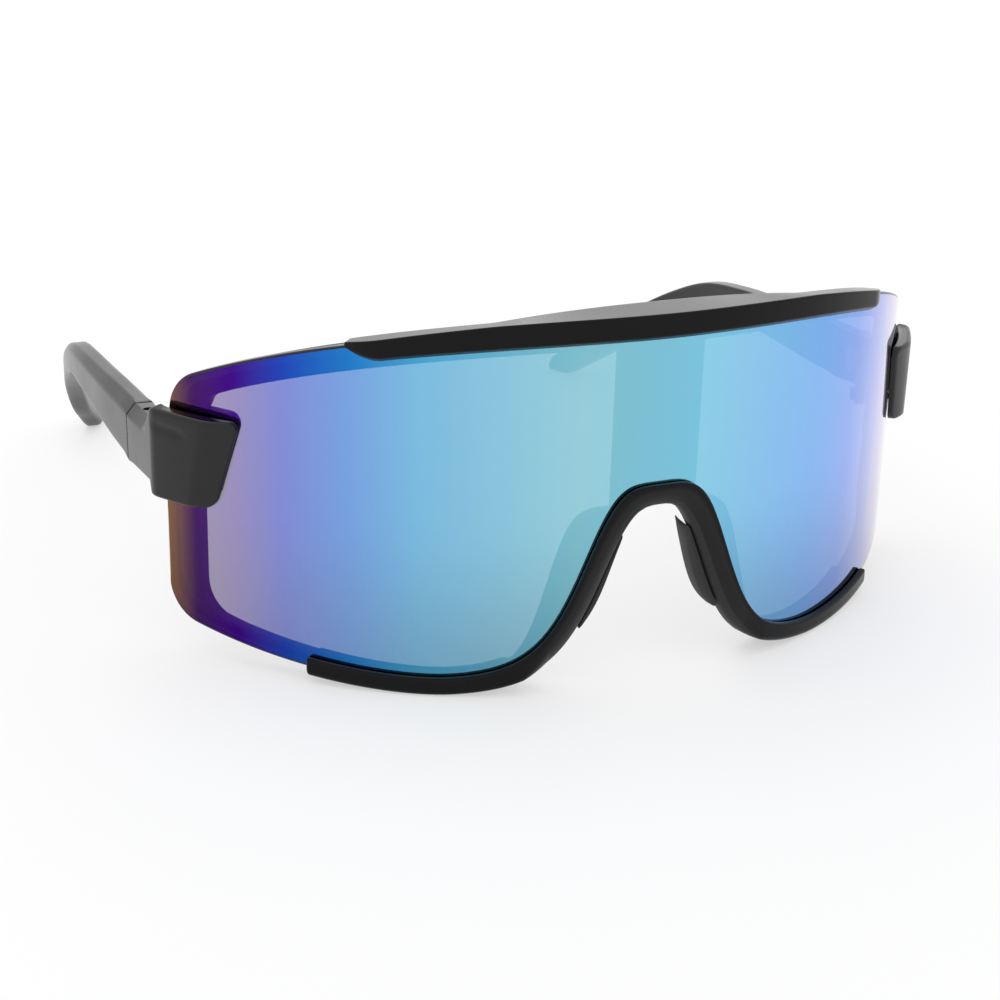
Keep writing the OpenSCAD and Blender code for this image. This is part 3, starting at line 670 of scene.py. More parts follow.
def lens_cut_edge():
    """Dark polished edge of the lens, and the dark strip round its inner face."""
    return moulded("lens edge", (0.01, 0.009, 0.011), (0.12, 0.2), 2000.0, 0.00001,
                   Specular_IOR_Level=0.4)


def lens_inner_face():
    """Clear smoke face of the lens, towards the wearer."""
    return moulded("lens inner face", sizes("finish").lens_inside, (0.04, 0.08), 1500.0,
                   0.000002, Specular_IOR_Level=0.4, Alpha=0.3)


# Pieces

def stations_round_lens(end, dense_from, dense_to, step, dense_step):
    """Arc lengths from -end to end, closer together between dense_from and dense_to."""
    half = np.concatenate([np.arange(0.0, dense_from, step),
                           np.arange(dense_from, dense_to, dense_step),
                           np.arange(dense_to, end, step)])
    return np.concatenate([-half[:0:-1], half])


def with_round_ends(s, end, radius):
    """Stations with both ends replaced by ones that follow a quarter circle."""
    inner = s[np.abs(s) < end - radius * LEAD]
    tail = end - end_stations(radius)[::-1]
    return np.concatenate([-tail[::-1], inner, tail])


def draw_in(corners, distance, radius):
    """Sections drawn in towards their middle near a rounded end, by a quarter circle."""
    low, high = corners.min(axis=1, keepdims=True), corners.max(axis=1, keepdims=True)
    half = (high - low) / 2.0
    inset = round_end(distance, radius)[:, None, None]
    keep = np.maximum(0.0, half - inset) / np.maximum(half, 1e-9)
    return (low + half) + (corners - low - half) * keep


def sections(*columns):
    """Corner sections (rings, m, 2) from pairs of offset and height arrays."""
    return np.stack([np.stack(np.broadcast_arrays(off, z), axis=-1) for off, z in columns],
                    axis=1)


def build_lens():
    """The lens: a cylinder shell whose section at each arc length runs from the bottom to the
    top edge. Its front, cut edge and inner face have materials of their own."""
    lens = sizes("lens")
    end, r = lens.half_arc, lens.edge_round
    turns = np.linspace(0.0, math.pi / 2.0, 19)
    corners_s = np.concatenate([end - lens.lean - lens.corner_up * (1.0 - np.sin(turns)),
                                end - lens.corner_low * (1.0 - np.sin(turns)),
                                end - end_stations(r)])
    middle = np.concatenate([np.arange(0.0, 0.02, 0.0003), np.arange(0.02, end - 0.01, 0.001)])
    half = np.unique(np.round(np.concatenate([middle, corners_s]), 7))
    half = half[np.concatenate([[True], np.diff(half) > 2e-6])]
    s = np.concatenate([-half[:0:-1], half])
    low, up = lens_low(s), lens_up(s)
    inset = round_end(end - np.abs(s), r * 0.8)
    front, back = -inset, -lens.thickness + inset
    strips = [np.minimum(BORDER * np.minimum(np.hypot(1.0, np.gradient(edge, s)), 3.0),
                         (up - low) * 0.3) for edge in (low, up)]
    section = sections((front, low), (front, up), (back, up), (back, up - strips[1]),
                       (back, low + strips[0]), (back, low))
    ring = round_corners(section, [r, r, r, 0.0, 0.0, r], 3)
    points, faces = loft(on_lens(s[:, None], ring[..., 0], ring[..., 1]))
    piece = add_piece("mirror_lens", points, faces,
                      [mirror_coat(), lens_cut_edge(), lens_inner_face()], FRONT_BODY,
                      ["lens"])
    columns = ring.shape[1]
    per_corner = columns // 6
    kind = np.ones((len(s) - 1, columns), dtype=int)
    kind[:, per_corner - 2:per_corner + 1] = 0
    inside = (np.abs(s[:-1]) < end - BORDER) & (np.abs(s[1:]) < end - BORDER)
    kind[inside, 4 * per_corner - 3:4 * per_corner + 2] = 2
    piece.data.polygons.foreach_set("material_index", np.concatenate([kind.ravel(), [1, 1]]))


# Width of the dark strip round the lens's inner face
BORDER = 0.0017


def build_rear_frame():
    """The rear frame, from its CAD solid with rounded edges."""
    dressed_copy("rear_frame", "black_rear_frame", matt_black(), FRONT_BODY,
                 0.0003)


def build_brow_bar():
    """The brow bar: a hooked section over the lens's top edge that thins out at both ends.
    Its lip and front follow a quarter sine along each slanted end."""
    rim = sizes("rim")
    s = with_round_ends(stations_round_lens(rim.bar_arc, rim.bar_arc - rim.bar_end,
                                            rim.bar_arc, 0.0012, 0.0002), rim.bar_arc, 0.0003)
    z = top_edge(s)
    share = limit((rim.bar_arc - np.abs(s)) / rim.bar_end)
    end = np.sin(math.pi / 2.0 * share)
    slim = limit((np.abs(s) - BAR_SLIM_FROM) / (rim.bar_arc - BAR_SLIM_FROM))
    side = limit(np.abs(s) / BAR_SLIM_FROM) ** 2
    crown = z + mix(rim.bar_crown, rim.bar_end_crown, slim)
    front = mix(BAR_TIP_PROUD, rim.bar_proud, end)
    lip = mix(z + GAP - BAR_TIP_LIP, z - rim.bar_lip, end)
    back = -mix(rim.bar_back, rim.bar_back_side, side)
    back_up = mix(z + GAP, crown, mix(1.0, BAR_BACK_SHARE, side))
    section = sections((GAP, lip), (mix(BAR_TIP, front, 0.5), lip),
                       (front, lip + rim.bar_bevel * end), (front, crown), (back, back_up),
                       (back, z + GAP), (GAP, z + GAP))
    section = draw_in(section, rim.bar_arc - np.abs(s), 0.0003)
    ring = round_corners(section, [0.0002, 0.0002, 0.0003, 0.0004, 0.0005, 0.0003, 0.0001])
    points, faces = loft(on_lens(s[:, None], ring[..., 0], ring[..., 1]))
    add_piece("black_brow_bar", points, faces, [gloss_black()], FRONT_BODY, ["brow_bar"])


BAR_SLIM_FROM = 0.028
BAR_TIP = 0.00035
BAR_TIP_PROUD = 0.0007
BAR_TIP_LIP = 0.0003
BAR_BACK_SHARE = 0.35


def steepness(edge, s):
    """Length along an edge curve over arc length: the root of one plus the slope squared."""
    step = 0.0001
    return np.sqrt(1.0 + ((edge(s + step) - edge(s - step)) / (2.0 * step)) ** 2)


def build_lower_rim():
    """The lower rim with the nose arch: a channel round the lens's lower edge. Its corners
    are rounded square to the edge, so heights are stretched by the edge's steepness."""
    rim = sizes("rim")
    s = with_round_ends(stations_round_lens(rim.arc, 0.004, 0.024, 0.0012, 0.00025), rim.arc,
                        0.0005)
    low, up = rim_low(s), rim_up(s)
    sink, shift = fade(s, *LIP_SINK), fade(s, *LIP_SHIFT)
    lip = rim_at(s, mix(REAR_LIP_SHARE, NOSE_LIP_SHARE, sink))
    lip_front = -mix(rim.rear_lip - RIM_LIP, rim.nose_lip - RIM_LIP, shift)
    back = -mix(rim.rear_lip, rim.nose_lip, shift)
    section = sections((mix(rim.proud - RIM_CHAMFER, NOSE_TURN, shift), low),
                       (mix(rim.proud, rim.proud - RIM_CHAMFER / 2.0, shift),
                        mix(low, up, mix(0.2, 0.5, shift))),
                       (rim.proud, up), (GAP, up), (GAP, rim_at(s, GROOVE_SHARE)),
                       (lip_front, rim_at(s, GROOVE_SHARE)), (lip_front, lip), (back, lip),
                       (back, low))
    section = draw_in(section, rim.arc - np.abs(s), 0.0005)
    stretch = np.stack([np.ones_like(s), steepness(rim_low, s)], axis=-1)[:, None, :]
    radii = np.array([0.0005, 0.0006, 0.00045, 0.0001, 0.0001, 0.0001, 0.0003, 0.0003, 0.0006])
    softer = NOSE_ROUND * np.array([1.0, 1.0, 0.0, 0.0, 0.0, 0.0, 0.0, 0.0, 0.0])
    ring = round_corners(section / stretch, radii + shift[:, None] * softer) * stretch
    points, faces = loft(on_lens(s[:, None], ring[..., 0], ring[..., 1]))
    piece = add_piece("black_lower_rim", points, faces, [rim_black()], FRONT_BODY,
                      ["lower_rim"])
    # Share of soft rubber at each point: on the side to the nose, fading out along the rim
    soft = np.repeat([0.9, 0.35, 0.0, 0.0, 0.0, 0.0, 0.0, 0.5, 1.0], ring.shape[1] // 9)
    near = ease((SOFT_TO - np.abs(s)) / SOFT_FADE)
    layer = piece.data.attributes.new("soft", "FLOAT", "POINT")
    layer.data.foreach_set("value", (near[:, None] * soft).ravel())


RIM_CHAMFER = 0.0005
RIM_LIP = 0.0008
# Heights in the rim's section as shares of it: the groove's floor and the rear lip's top
GROOVE_SHARE = 0.27
REAR_LIP_SHARE = 0.8
# Offset of the front's lower corner beside the nose, where it turns back as a soft strip
NOSE_TURN = -0.0004
NOSE_ROUND = 0.0008
# The soft strip fades out over one length before this arc length
SOFT_TO = 0.024
SOFT_FADE = 0.008
# Beside the nose the rear lip sinks over one stretch and moves forward over the next
NOSE_LIP_SHARE = 0.33
LIP_SINK = (0.025, 0.022)
LIP_SHIFT = (0.022, 0.018)


def fade(s, start, end):
    """0 outside start, 1 inside end, in a straight line between them."""
    return limit((start - np.abs(s)) / (start - end))


def build_nose_pads():
    """The nose pads: a thin flap under each flank of the arch. Its section runs back from the
    lens and flares out behind the rim with the square of the depth. The depth shrinks by
    quarter sines towards both ends."""
    rim = sizes("rim")
    share = np.linspace(0.0, 1.0, 61)
    s = mix(rim.pad_to, rim.pad_from, share)
    steep = steepness(rim_low, s)
    thick = rim.pad_thickness * mix(0.4, 1.0, np.sin(math.pi * share))
    deep = (rim.pad_depth
            * mix(PAD_LOW_SHARE, 1.0,
                  np.sin(math.pi / 2.0 * limit((rim.pad_to - s) / PAD_LOW)))
            * mix(PAD_UP_SHARE, 1.0,
                  np.sin(math.pi / 2.0 * limit((s - rim.pad_from) / PAD_UP))))
    # Corners as shares of thickness and depth, and the section in metres square to the rim
    corners = ((0.0, 0.0), (0.7, 0.0), (1.0, 0.15), (1.0, 0.7), (0.55, 1.0), (0.1, 0.9),
               (0.0, 0.45))
    section = sections(*[(deep * back, thick * down) for down, back in corners])
    section = draw_in(section, np.minimum(s - rim.pad_from, rim.pad_to - s) + 0.0001, 0.0004)
    ring = round_corners(section, 0.0004)
    depth, down = ring[..., 0], ring[..., 1] + PAD_GAP
    points = on_lens(s[:, None], PAD_FRONT - depth, rim_low(s)[:, None] - down * steep[:, None])
    behind = PAD_FRONT + rim.nose_lip
    points[..., 0] += rim.pad_flare * limit((depth - behind) / (rim.pad_depth - behind)) ** 2
    for name, side in SIDES:
        shape, faces = loft(mirrored(points, side))
        add_piece("rubber_nose_pad_" + name, shape, faces, [soft_rubber()], FRONT_BODY,
                  ["nose_pad_" + name])


PAD_GAP = 0.00015
PAD_FRONT = -0.0009
# Arc lengths over which the pad's depth shrinks to its ends, and the shares left there
PAD_LOW, PAD_LOW_SHARE = 0.0034, 0.3
PAD_UP, PAD_UP_SHARE = 0.0016, 0.6


class Contour:
    """Outer contour of the right endpiece in plan: an arc before the lens, a round corner and
    a straight line back to the seam, all as functions of the length along it."""

    def __init__(self):
        lens, arms = sizes("lens"), sizes("arms")
        self.turn = CORNER_RADIUS
        self.radius = lens.radius + arms.plate_proud
        self.axis_y = VERTEX_Y + lens.radius
        self.out_x = HINGE_X + arms.hinge_in
        self.first = (lens.half_arc - arms.plate_width) / lens.radius
        self.last = math.asin((self.out_x - self.turn) / (self.radius - self.turn))
        self.centre_y = self.axis_y - (self.radius - self.turn) * math.cos(self.last)
        self.seam_y = HINGE_Y + arms.seam_back
        self.arc_end = self.radius * (self.last - self.first)
        self.corner_end = self.arc_end + self.turn * (math.pi / 2.0 - self.last)
        self.length = self.corner_end + self.seam_y - self.centre_y

    def at(self, q, inward, z):
        """Points at length q along the contour, a distance inward from it, at height z."""
        arc = self.first + q / self.radius
        corner = self.last + (q - self.arc_end) / self.turn
        heading = np.where(q < self.arc_end, arc, np.minimum(corner, math.pi / 2.0))
        on_arc = q < self.arc_end
        reach = np.where(on_arc, self.radius, self.turn)
        x0 = np.where(on_arc, 0.0, self.out_x - self.turn)
        y0 = np.where(on_arc, self.axis_y, self.centre_y)
        straight = np.maximum(0.0, q - self.corner_end)
        x = x0 + (reach - inward) * np.sin(heading)
        y = y0 - (reach - inward) * np.cos(heading) + straight
        return np.stack(np.broadcast_arrays(x, y, z), axis=-1)

    def along(self, y):
        """Length along the contour at which its straight part reaches y."""
        return self.corner_end + y - self.centre_y


CORNER_RADIUS = 0.0036


def endpiece_shell():
    """Front plate, round corner and side block of the right endpiece as one loft. The top
    swoops down from the plate to the block by smooth steps, the inner end of the plate is
    slanted, and a shallow band is drawn into the plate's front."""
    arms = sizes("arms")
    path = Contour()
    plate_top = HINGE_Z + arms.plate_up + arms.plate_height / 2.0
    plate_low = plate_top - arms.plate_height
    side_top = HINGE_Z + arms.side_height / 2.0
    side_low = HINGE_Z - arms.side_height / 2.0
    q = np.concatenate([
        end_stations(PLATE_CORNER, 10), np.linspace(PLATE_CORNER, path.arc_end, 30)[1:],
        np.linspace(path.arc_end, path.corner_end, 14)[1:],
        np.linspace(path.corner_end, path.length - SEAM_ROUND, 44)[1:],
        path.length - end_stations(SEAM_ROUND, 3)[::-1][1:]])
    back = (q - path.corner_end) / (path.length - path.corner_end)
    swoop = ease((q - path.corner_end + SWOOP_EARLY) / SWOOP)
    top = mix(plate_top, mix(side_top + SHOULDER, side_top, ease(back)), swoop)
    notch = ease((q - path.corner_end + NOTCH_EARLY) / NOTCH)
    low = mix(plate_low, mix(side_low + SHOULDER_LOW, side_low, limit(back)), notch)
    slim = ease((q - path.corner_end) / 0.004)
    bevel_w = mix(PLATE_BEVEL, arms.bevel_width, slim)
    bevel_h = mix(PLATE_BEVEL, arms.bevel_height, slim)
    wall = mix(arms.plate_proud, arms.side_wall, limit(q / path.corner_end)) - WALL_GAP
    behind = ease((q - path.along(path.centre_y + 0.002)) / 0.0022)
    thick = mix(wall, arms.thickness, behind)
    lift = INNER_LIFT * bump(q, path.corner_end - 0.0005, 0.0022)
    corner = round_end(q, PLATE_CORNER)
    top, low = top - corner, low + corner
    edge = round_end(q, 0.0006)
    seam = round_end(path.length - q, SEAM_ROUND)
    section = sections((edge + seam, low + seam), (edge + seam, top - bevel_h - seam),
                       (edge + seam + bevel_w, top - seam),
                       (thick - seam, top + lift - seam), (thick - seam, low + seam))
    rounds = mix(1.0, 0.3, ease((q - path.length + 0.003) / 0.003))[:, None]
    softer = bump(q, path.corner_end + FOLD_SOFT_AT, FOLD_SOFT)[:, None]
    radii = np.array(BLOCK_RADII) * rounds + np.array(FOLD_RADII) * softer
    ring = round_corners(section, radii, 6, fills={0: 36})
    inward, z = ring[..., 0], ring[..., 1]
    slant = arms.plate_slant * (plate_top - z) / arms.plate_height
    at = q[:, None] + slant * np.maximum(0.0, 1.0 - q[:, None] / path.arc_end)
    band = ease((at - RECESS_FROM) / 0.0025) * ease((RECESS_TO - at) / 0.0025)
    dent = RECESS_DEPTH * band * bump(z, RECESS_Z + (at - RECESS_FROM) * 0.06, 0.0008)
    inward = inward + dent * (inward < PLATE_BEVEL / 2.0)
    # The plate thins out towards its inner end by squeezing the section against the lens
    thin = (arms.plate_proud - arms.plate_tip) * limit(1.0 - q / arms.plate_taper) ** 1.5
    share = thin[:, None] / arms.plate_proud
    inward = inward + share * (arms.plate_proud - inward)
    points = path.at(at, inward, z)
    relief = arms.seam_back ** 2 - (points[..., 0] - HINGE_X) ** 2
    end_y = HINGE_Y + np.sqrt(np.maximum(0.0, relief))
    points[..., 1] = np.where(points[..., 0] < HINGE_X, np.minimum(points[..., 1], end_y),
                              points[..., 1])
    return points


# How far before the corner's end the top and bottom start to fall to the block, and how long
# that takes
SWOOP_EARLY, SWOOP = 0.0012, 0.0075
NOTCH_EARLY, NOTCH = 0.0002, 0.0012
# Radii of the section's corners, and what is added to them just behind the fold
BLOCK_RADII = (0.0006, 0.0004, 0.0004, 0.0006, 0.0004)
FOLD_RADII = (0.0, 0.0012, 0.0009, 0.0, 0.0)
FOLD_SOFT_AT, FOLD_SOFT = 0.002, 0.003
PLATE_CORNER = 0.0018
PLATE_BEVEL = 0.0005
SEAM_ROUND = 0.00012
SHOULDER = 0.0011
SHOULDER_LOW = 0.0016
WALL_GAP = 0.0003
INNER_LIFT = 0.0004
RECESS_FROM = 0.0082
RECESS_TO = 0.0172
RECESS_Z = 0.0395
RECESS_DEPTH = 0.00025


def rear_clamp():
    """Rear clamp of the right endpiece: a bar behind the rear frame that thins into the side
    block."""
    half_arc = sizes("lens").half_arc
    first, last = half_arc - CLAMP_REACH, half_arc + CLAMP_INTO
    s = np.concatenate([first + end_stations(CLAMP_ROUND),
                        np.linspace(first + CLAMP_ROUND * LEAD, last, 30)])
    into = ease((s - half_arc) / CLAMP_INTO)
    inset = round_end(s - first, CLAMP_ROUND)
    front = -CLAMP_FRONT - inset
    back = mix(-CLAMP_BACK, -CLAMP_FRONT - CLAMP_THIN, into) + inset
    top = HINGE_Z + mix(CLAMP_UP, CLAMP_IN_BLOCK, into) - inset
    low = HINGE_Z - mix(CLAMP_DOWN, CLAMP_IN_BLOCK, into) + inset
    section = sections((front, low), (front, top), (back, top), (back, low))
    ring = round_corners(section, CLAMP_ROUND)
    return on_lens(s[:, None], ring[..., 0], ring[..., 1])


# Arc lengths from the lens's side edge to the bar's free end, and on into the side block
CLAMP_REACH, CLAMP_INTO = 0.0051, 0.0046
CLAMP_ROUND = 0.0006
# Distances of its faces behind the lens's front, and its thickness inside the block
CLAMP_FRONT, CLAMP_BACK, CLAMP_THIN = 0.0042, 0.0062, 0.0003
# Heights of its edges over and under the hinge's middle, and of both inside the block
CLAMP_UP, CLAMP_DOWN, CLAMP_IN_BLOCK = 0.0082, 0.005, 0.004


def build_endpieces():
    """The endpieces: shell and rear clamp joined, with the hinge slot and the screw's hole
    cut out."""
    arms = sizes("arms")
    shell, clamp = endpiece_shell(), rear_clamp()
    side_top = HINGE_Z + arms.side_height / 2.0
    for name, side in SIDES:
        points, faces = loft(mirrored(shell, side))
        piece = add_piece("satin_endpiece_" + name, points, faces, [satin_black()],
                          FRONT_BODY, ["endpiece_" + name])
        x = side * HINGE_X
        inner, outer = sorted((x - side * arms.thickness, x))
        leaf = sorted((x - side * arms.thickness, x + side * SLOT_SIDE))
        low, high = HINGE_Z - SLOT_HALF, HINGE_Z + SLOT_HALF
        back = HINGE_Y + 2.0 * arms.seam_back
        cut(piece, [plain_object("clamp", *loft(mirrored(clamp, side)))], "UNION")
        cut(piece, [
            cylinder_mesh("knuckle space", (x, HINGE_Y), SLOT_RADIUS, low, high),
            box_mesh("slot", (inner, HINGE_Y - SLOT_RADIUS, low), (outer, back, high)),
            box_mesh("leaf space", (leaf[0], HINGE_Y, low), (leaf[1], back, high)),
            cylinder_mesh("screw hole", (x, HINGE_Y), SCREW_HOLE, side_top - SCREW_DEEP,
                          side_top + 0.005)])


SLOT_HALF = 0.0027
SLOT_RADIUS = 0.002
SLOT_SIDE = 0.0008
SCREW_HOLE = 0.001
SCREW_DEEP = 0.0015

# Temple's side view: shares of its length, its top edge as shares of the height of its
# seam's top, and its height as shares of the side block's
PATH_SHARES = (0.0, 0.12, 0.25, 0.4, 0.52, 0.64, 0.76, 0.88, 1.0)
TOP_SHARES = (1.0, 0.985, 0.96, 0.925, 0.87, 0.735, 0.55, 0.325, 0.09)
HEIGHT_SHARES = (1.0, 0.95, 0.82, 0.66, 0.6, 0.62, 0.68, 0.72, 0.5)
SWEEP_FROM_SHARE, SWEEP_POWER = 0.12, 3.3
TIP_SHARE = 0.05


def smooth_table(table, u):
    """Cubic Hermite curve through a table at PATH_SHARES, level at both ends and with the
    slope of its neighbours between."""
    at, value = np.array(PATH_SHARES), np.array(table)
    slope = np.zeros_like(value)
    slope[1:-1] = (value[2:] - value[:-2]) / (at[2:] - at[:-2])
    i = np.clip(np.searchsorted(at, u, side="right") - 1, 0, len(at) - 2)
    w = at[i + 1] - at[i]
    t = (u - at[i]) / w
    a, b, da, db = value[i], value[i + 1], slope[i] * w, slope[i + 1] * w
    return a + da * t + (3 * (b - a) - 2 * da - db) * t ** 2 + (2 * (a - b) + da + db) * t ** 3


def build_temples():
    """The temples: a five-cornered section carried back from the seam. Its top and height
    follow the tables, it sweeps in by a power curve, and its tip closes as a half circle."""
    arms = sizes("arms")
    turn = np.linspace(0.0, math.radians(88.0), 14)
    run = np.linspace(0.0, 1.0 - TIP_SHARE, 110)
    seam = end_stations(SEAM_ROUND, 3) / arms.temple_length
    u = np.concatenate([seam, run[1:], 1.0 - TIP_SHARE + TIP_SHARE * np.sin(turn[1:])])
    end = np.concatenate([np.ones(len(seam) + len(run) - 1), np.cos(turn[1:])])
    y = HINGE_Y + arms.seam_back + arms.seam_gap + arms.temple_length * u
    share = limit((u - SWEEP_FROM_SHARE) / (1.0 - SWEEP_FROM_SHARE))
    out = HINGE_X + arms.hinge_in - arms.sweep * share ** SWEEP_POWER
    full = mix(arms.thickness, arms.tip_thickness, u)
    height = arms.side_height * smooth_table(HEIGHT_SHARES, u)
    side_top = HINGE_Z + arms.side_height / 2.0
    middle = np.maximum(side_top * smooth_table(TOP_SHARES, u) - height / 2.0,
                        height / 2.0 * end)
    thick = full * mix(0.3, 1.0, end)
    x = out - (full - thick) / 2.0
    inset = round_end(arms.temple_length * u, SEAM_ROUND)
    up, low = middle + height / 2.0 * end - inset, middle - height / 2.0 * end + inset
    slim = height * end / arms.side_height
    bevel_w = arms.bevel_width * slim * thick / arms.thickness
    section = sections((x - inset, low), (x - inset, up - arms.bevel_height * slim),
                       (x - inset - bevel_w, up), (x - thick + inset, up),
                       (x - thick + inset, low))
    rounds = (end * mix(0.3, 1.0, ease(u * 30.0)))[:, None]
    ring = round_corners(section, np.array([0.001, 0.0005, 0.0005, 0.0009, 0.001]) * rounds)
    points = np.stack([ring[..., 0], np.broadcast_to(y[:, None], ring.shape[:2]),
                       ring[..., 1]], axis=-1)
    for name, side in SIDES:
        shape, faces = loft(mirrored(points, side))
        add_piece("satin_temple_" + name, shape, faces, [satin_black()], "arm_" + name,
                  ["temple_" + name])


def build_hinges():
    """The hinge leaves and all screws, from their CAD solids."""
    for name, _ in SIDES:
        dressed_copy("hinge_leaf_" + name, "steel_hinge_leaf_" + name, dark_steel(),
                     "arm_" + name, 0.0001)
    for node in ("hinge_screws", "clamp_screws"):
        dressed_copy(node, "steel_" + node, dark_steel(), FRONT_BODY, 0.0001)


# Stage

FLOOR_RADIUS = 3.0
FLOOR_SIDES = 96
FLOOR_DROP = 0.00005
# Share of the floor's white that camera, gloss and lens see whatever the light
WHITE_SHARE = 0.5


def white_for_lens_and_camera(tree):
    """1 for rays from the camera, from gloss and through the lens, and 0 for the others."""
    rays = add_node(tree, "ShaderNodeLightPath").outputs
    total = rays["Is Camera Ray"]
    for kind in ("Is Glossy Ray", "Is Transmission Ray"):
        total = add_node(tree, "ShaderNodeMath", {0: total, 1: rays[kind]},
                         operation="MAXIMUM").outputs["Value"]
    return total


def build_floor():
    """Round pale floor, just under the glasses, that keeps their soft shadow."""
    angle = np.linspace(0.0, 2.0 * math.pi, FLOOR_SIDES, endpoint=False)
    points = np.stack([np.cos(angle), np.sin(angle), np.zeros(FLOOR_SIDES)], 1) * FLOOR_RADIUS
    points[:, 2] = -FLOOR_DROP
    floor = plain_object("floor", points, [list(range(FLOOR_SIDES))])
    material, tree = new_material("pale floor")
    matte = add_node(tree, "ShaderNodeBsdfDiffuse", {"Color": (*sizes("finish").floor, 1.0)})
    white = add_node(tree, "ShaderNodeEmission")
    share = add_node(tree, "ShaderNodeMath",
                     {0: white_for_lens_and_camera(tree), 1: WHITE_SHARE}, operation="MULTIPLY")
    blend = add_node(tree, "ShaderNodeMixShader",
                     {0: share.outputs["Value"], 1: matte.outputs["BSDF"],
                      2: white.outputs["Emission"]})
    add_node(tree, "ShaderNodeOutputMaterial", {"Surface": blend.outputs["Shader"]})
    floor.data.materials.append(material)


def build_world():
    """Plain white surroundings of strength 1."""
    world = bpy.data.worlds.new("white studio")
    bpy.context.scene.world = world
    world.use_nodes = True
    world.node_tree.nodes.clear()
    sky = add_node(world.node_tree, "ShaderNodeBackground", {"Color": (1.0, 1.0, 1.0, 1.0)})
    add_node(world.node_tree, "ShaderNodeOutputWorld", {"Surface": sky.outputs["Background"]})


# Name, size, energy and place of each soft light
SOFTBOXES = (("overhead softbox", 0.7, 0.8, (-0.15, 0.25, 0.8)),
             ("rear softbox", 0.6, 0.8, (0.37, 0.83, 0.42)))


def build_lights():
    """Broad soft lights over and behind the glasses."""
    for name, size, energy, place in SOFTBOXES:
        lamp = bpy.data.lights.new(name, "AREA")
        lamp.shape = "DISK"
        lamp.size = size
        lamp.energy = energy
        light = bpy.data.objects.new(name, lamp)
        bpy.context.scene.collection.objects.link(light)
        light.location = place
        aim = Vector((0.0, 0.0, 0.03)) - light.location
        light.rotation_euler = aim.to_track_quat("-Z", "Y").to_euler()


# The camera: its place from the lens's front vertex, its heading to the right of +Y and down,
# its roll and its focal length
CAMERA_FROM_VERTEX = (-0.1434, -0.2591, 0.14746)
CAMERA_AZIMUTH, CAMERA_ELEVATION, CAMERA_ROLL = -24.008, 21.538, 1.55
CAMERA_LENS = 72.0


def build_camera():
    """Camera whose axes come from its azimuth, elevation and roll."""
    data = bpy.data.cameras.new("camera")
    data.lens = CAMERA_LENS
    data.sensor_width = 36.0
    data.clip_start = 0.01
    camera = bpy.data.objects.new("camera", data)
    bpy.context.scene.collection.objects.link(camera)
    a, e, r = (math.radians(v) for v in (CAMERA_AZIMUTH, CAMERA_ELEVATION, CAMERA_ROLL))
    back = Vector((math.sin(a) * math.cos(e), -math.cos(a) * math.cos(e), math.sin(e)))
    level = Vector((math.cos(a), math.sin(a), 0.0))
    upright = back.cross(level)
    right = math.cos(r) * level + math.sin(r) * upright
    up = -math.sin(r) * level + math.cos(r) * upright
    x, y, z = CAMERA_FROM_VERTEX
    place = Matrix((right, up, back)).transposed().to_4x4()
    place.translation = (x, VERTEX_Y + y, z)
    camera.matrix_world = place
    bpy.context.scene.camera = camera


class GlassesOperator:
    """Shared by the operators: runs the class's own builders."""
    bl_options = {"REGISTER", "UNDO"}
    builders = ()

    def execute(self, context):
        for build in self.builders:
            build()
        return {"FINISHED"}


class GLASSES_OT_lens(GlassesOperator, bpy.types.Operator):
    """Build the mirror lens"""
    bl_idname = "glasses.lens"
    bl_label = "Lens"
    builders = (build_lens,)


class GLASSES_OT_frame(GlassesOperator, bpy.types.Operator):
    """Build the rear frame, the brow bar and the lower rim"""
    bl_idname = "glasses.frame"
    bl_label = "Frame, brow bar and rim"
    builders = (build_rear_frame, build_brow_bar, build_lower_rim)


class GLASSES_OT_nose_pads(GlassesOperator, bpy.types.Operator):
    """Build both nose pads"""
    bl_idname = "glasses.nose_pads"
    bl_label = "Nose pads"
    builders = (build_nose_pads,)


class GLASSES_OT_endpieces(GlassesOperator, bpy.types.Operator):
    """Build both endpieces"""
    bl_idname = "glasses.endpieces"
    bl_label = "Endpieces"
    builders = (build_endpieces,)


class GLASSES_OT_temples(GlassesOperator, bpy.types.Operator):
    """Build both temples"""
    bl_idname = "glasses.temples"
    bl_label = "Temples"
    builders = (build_temples,)


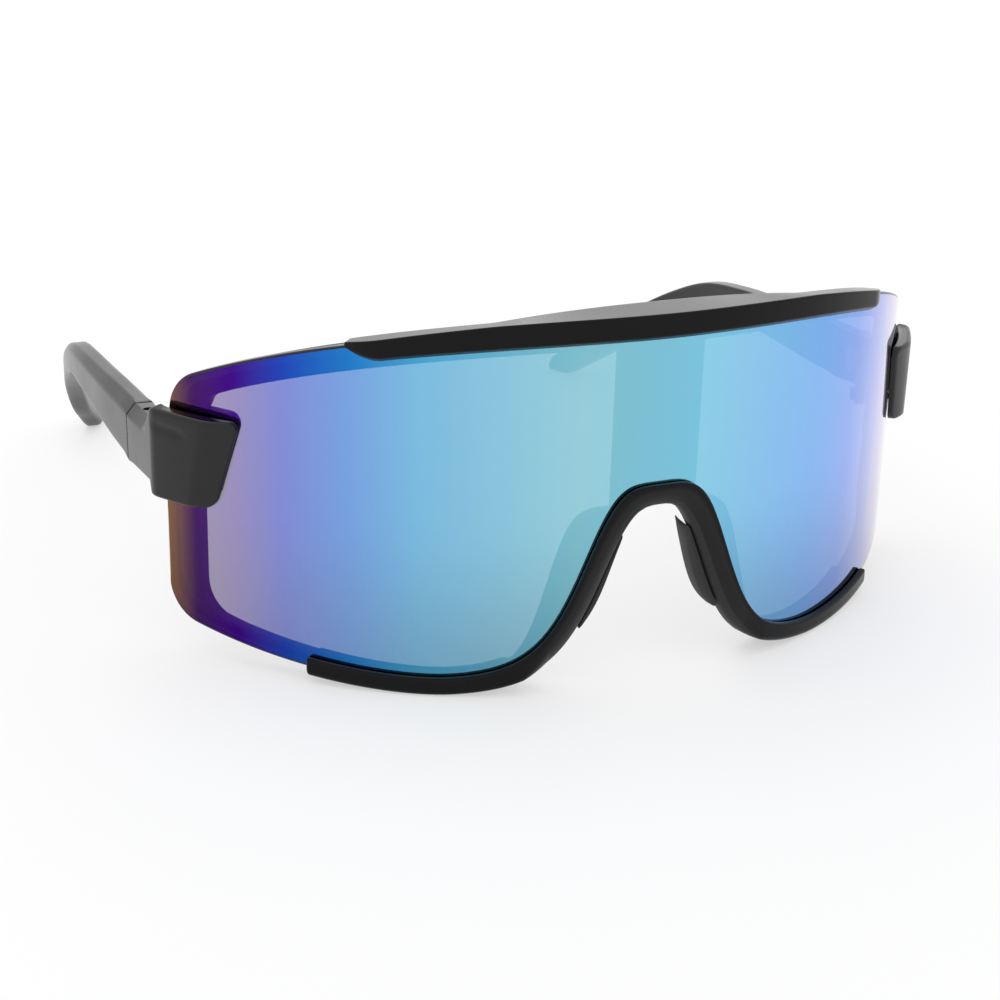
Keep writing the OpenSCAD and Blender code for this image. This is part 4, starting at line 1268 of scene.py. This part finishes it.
class GLASSES_OT_hinges(GlassesOperator, bpy.types.Operator):
    """Build the hinge leaves and the screws"""
    bl_idname = "glasses.hinges"
    bl_label = "Hinges and screws"
    builders = (build_hinges,)


class GLASSES_OT_stage(GlassesOperator, bpy.types.Operator):
    """Build the floor, the white surroundings, the light and the camera"""
    bl_idname = "glasses.stage"
    bl_label = "Stage"
    builders = (build_floor, build_world, build_lights, build_camera)


GROUPS = (("lens", SUNGLASSES_PG_lens), ("rim", SUNGLASSES_PG_rim),
          ("arms", SUNGLASSES_PG_arms), ("finish", SUNGLASSES_PG_finish))
OPERATORS = (GLASSES_OT_lens, GLASSES_OT_frame, GLASSES_OT_nose_pads, GLASSES_OT_endpieces,
             GLASSES_OT_temples, GLASSES_OT_hinges, GLASSES_OT_stage)


class GLASSES_PT_panel(bpy.types.Panel):
    """Sidebar panel with the operators and the sizes"""
    bl_idname = "GLASSES_PT_panel"
    bl_label = "Sunglasses"
    bl_space_type = "VIEW_3D"
    bl_region_type = "UI"
    bl_category = "Sunglasses"

    def draw(self, context):
        for operator in OPERATORS:
            self.layout.operator(operator.bl_idname)
        for name, group in GROUPS:
            box = self.layout.box()
            box.label(text=name.capitalize())
            for value in group.__annotations__:
                box.prop(sizes(name), value)


def register():
    """Registers the classes and hangs the property groups on the scene."""
    for name, group in GROUPS:
        bpy.utils.register_class(group)
        setattr(bpy.types.Scene, "glasses_" + name, PointerProperty(type=group))
    for cls in (*OPERATORS, GLASSES_PT_panel):
        bpy.utils.register_class(cls)


def unregister():
    """Undoes register."""
    for cls in (GLASSES_PT_panel, *reversed(OPERATORS)):
        bpy.utils.unregister_class(cls)
    for name, group in reversed(GROUPS):
        delattr(bpy.types.Scene, "glasses_" + name)
        bpy.utils.unregister_class(group)


def main():
    """Builds the whole scene."""
    register()
    bpy.context.scene.view_settings.view_transform = "Standard"
    bpy.ops.glasses.lens()
    bpy.ops.glasses.frame()
    bpy.ops.glasses.nose_pads()
    bpy.ops.glasses.endpieces()
    bpy.ops.glasses.temples()
    bpy.ops.glasses.hinges()
    bpy.ops.glasses.stage()


if __name__ == "__main__":
    main()
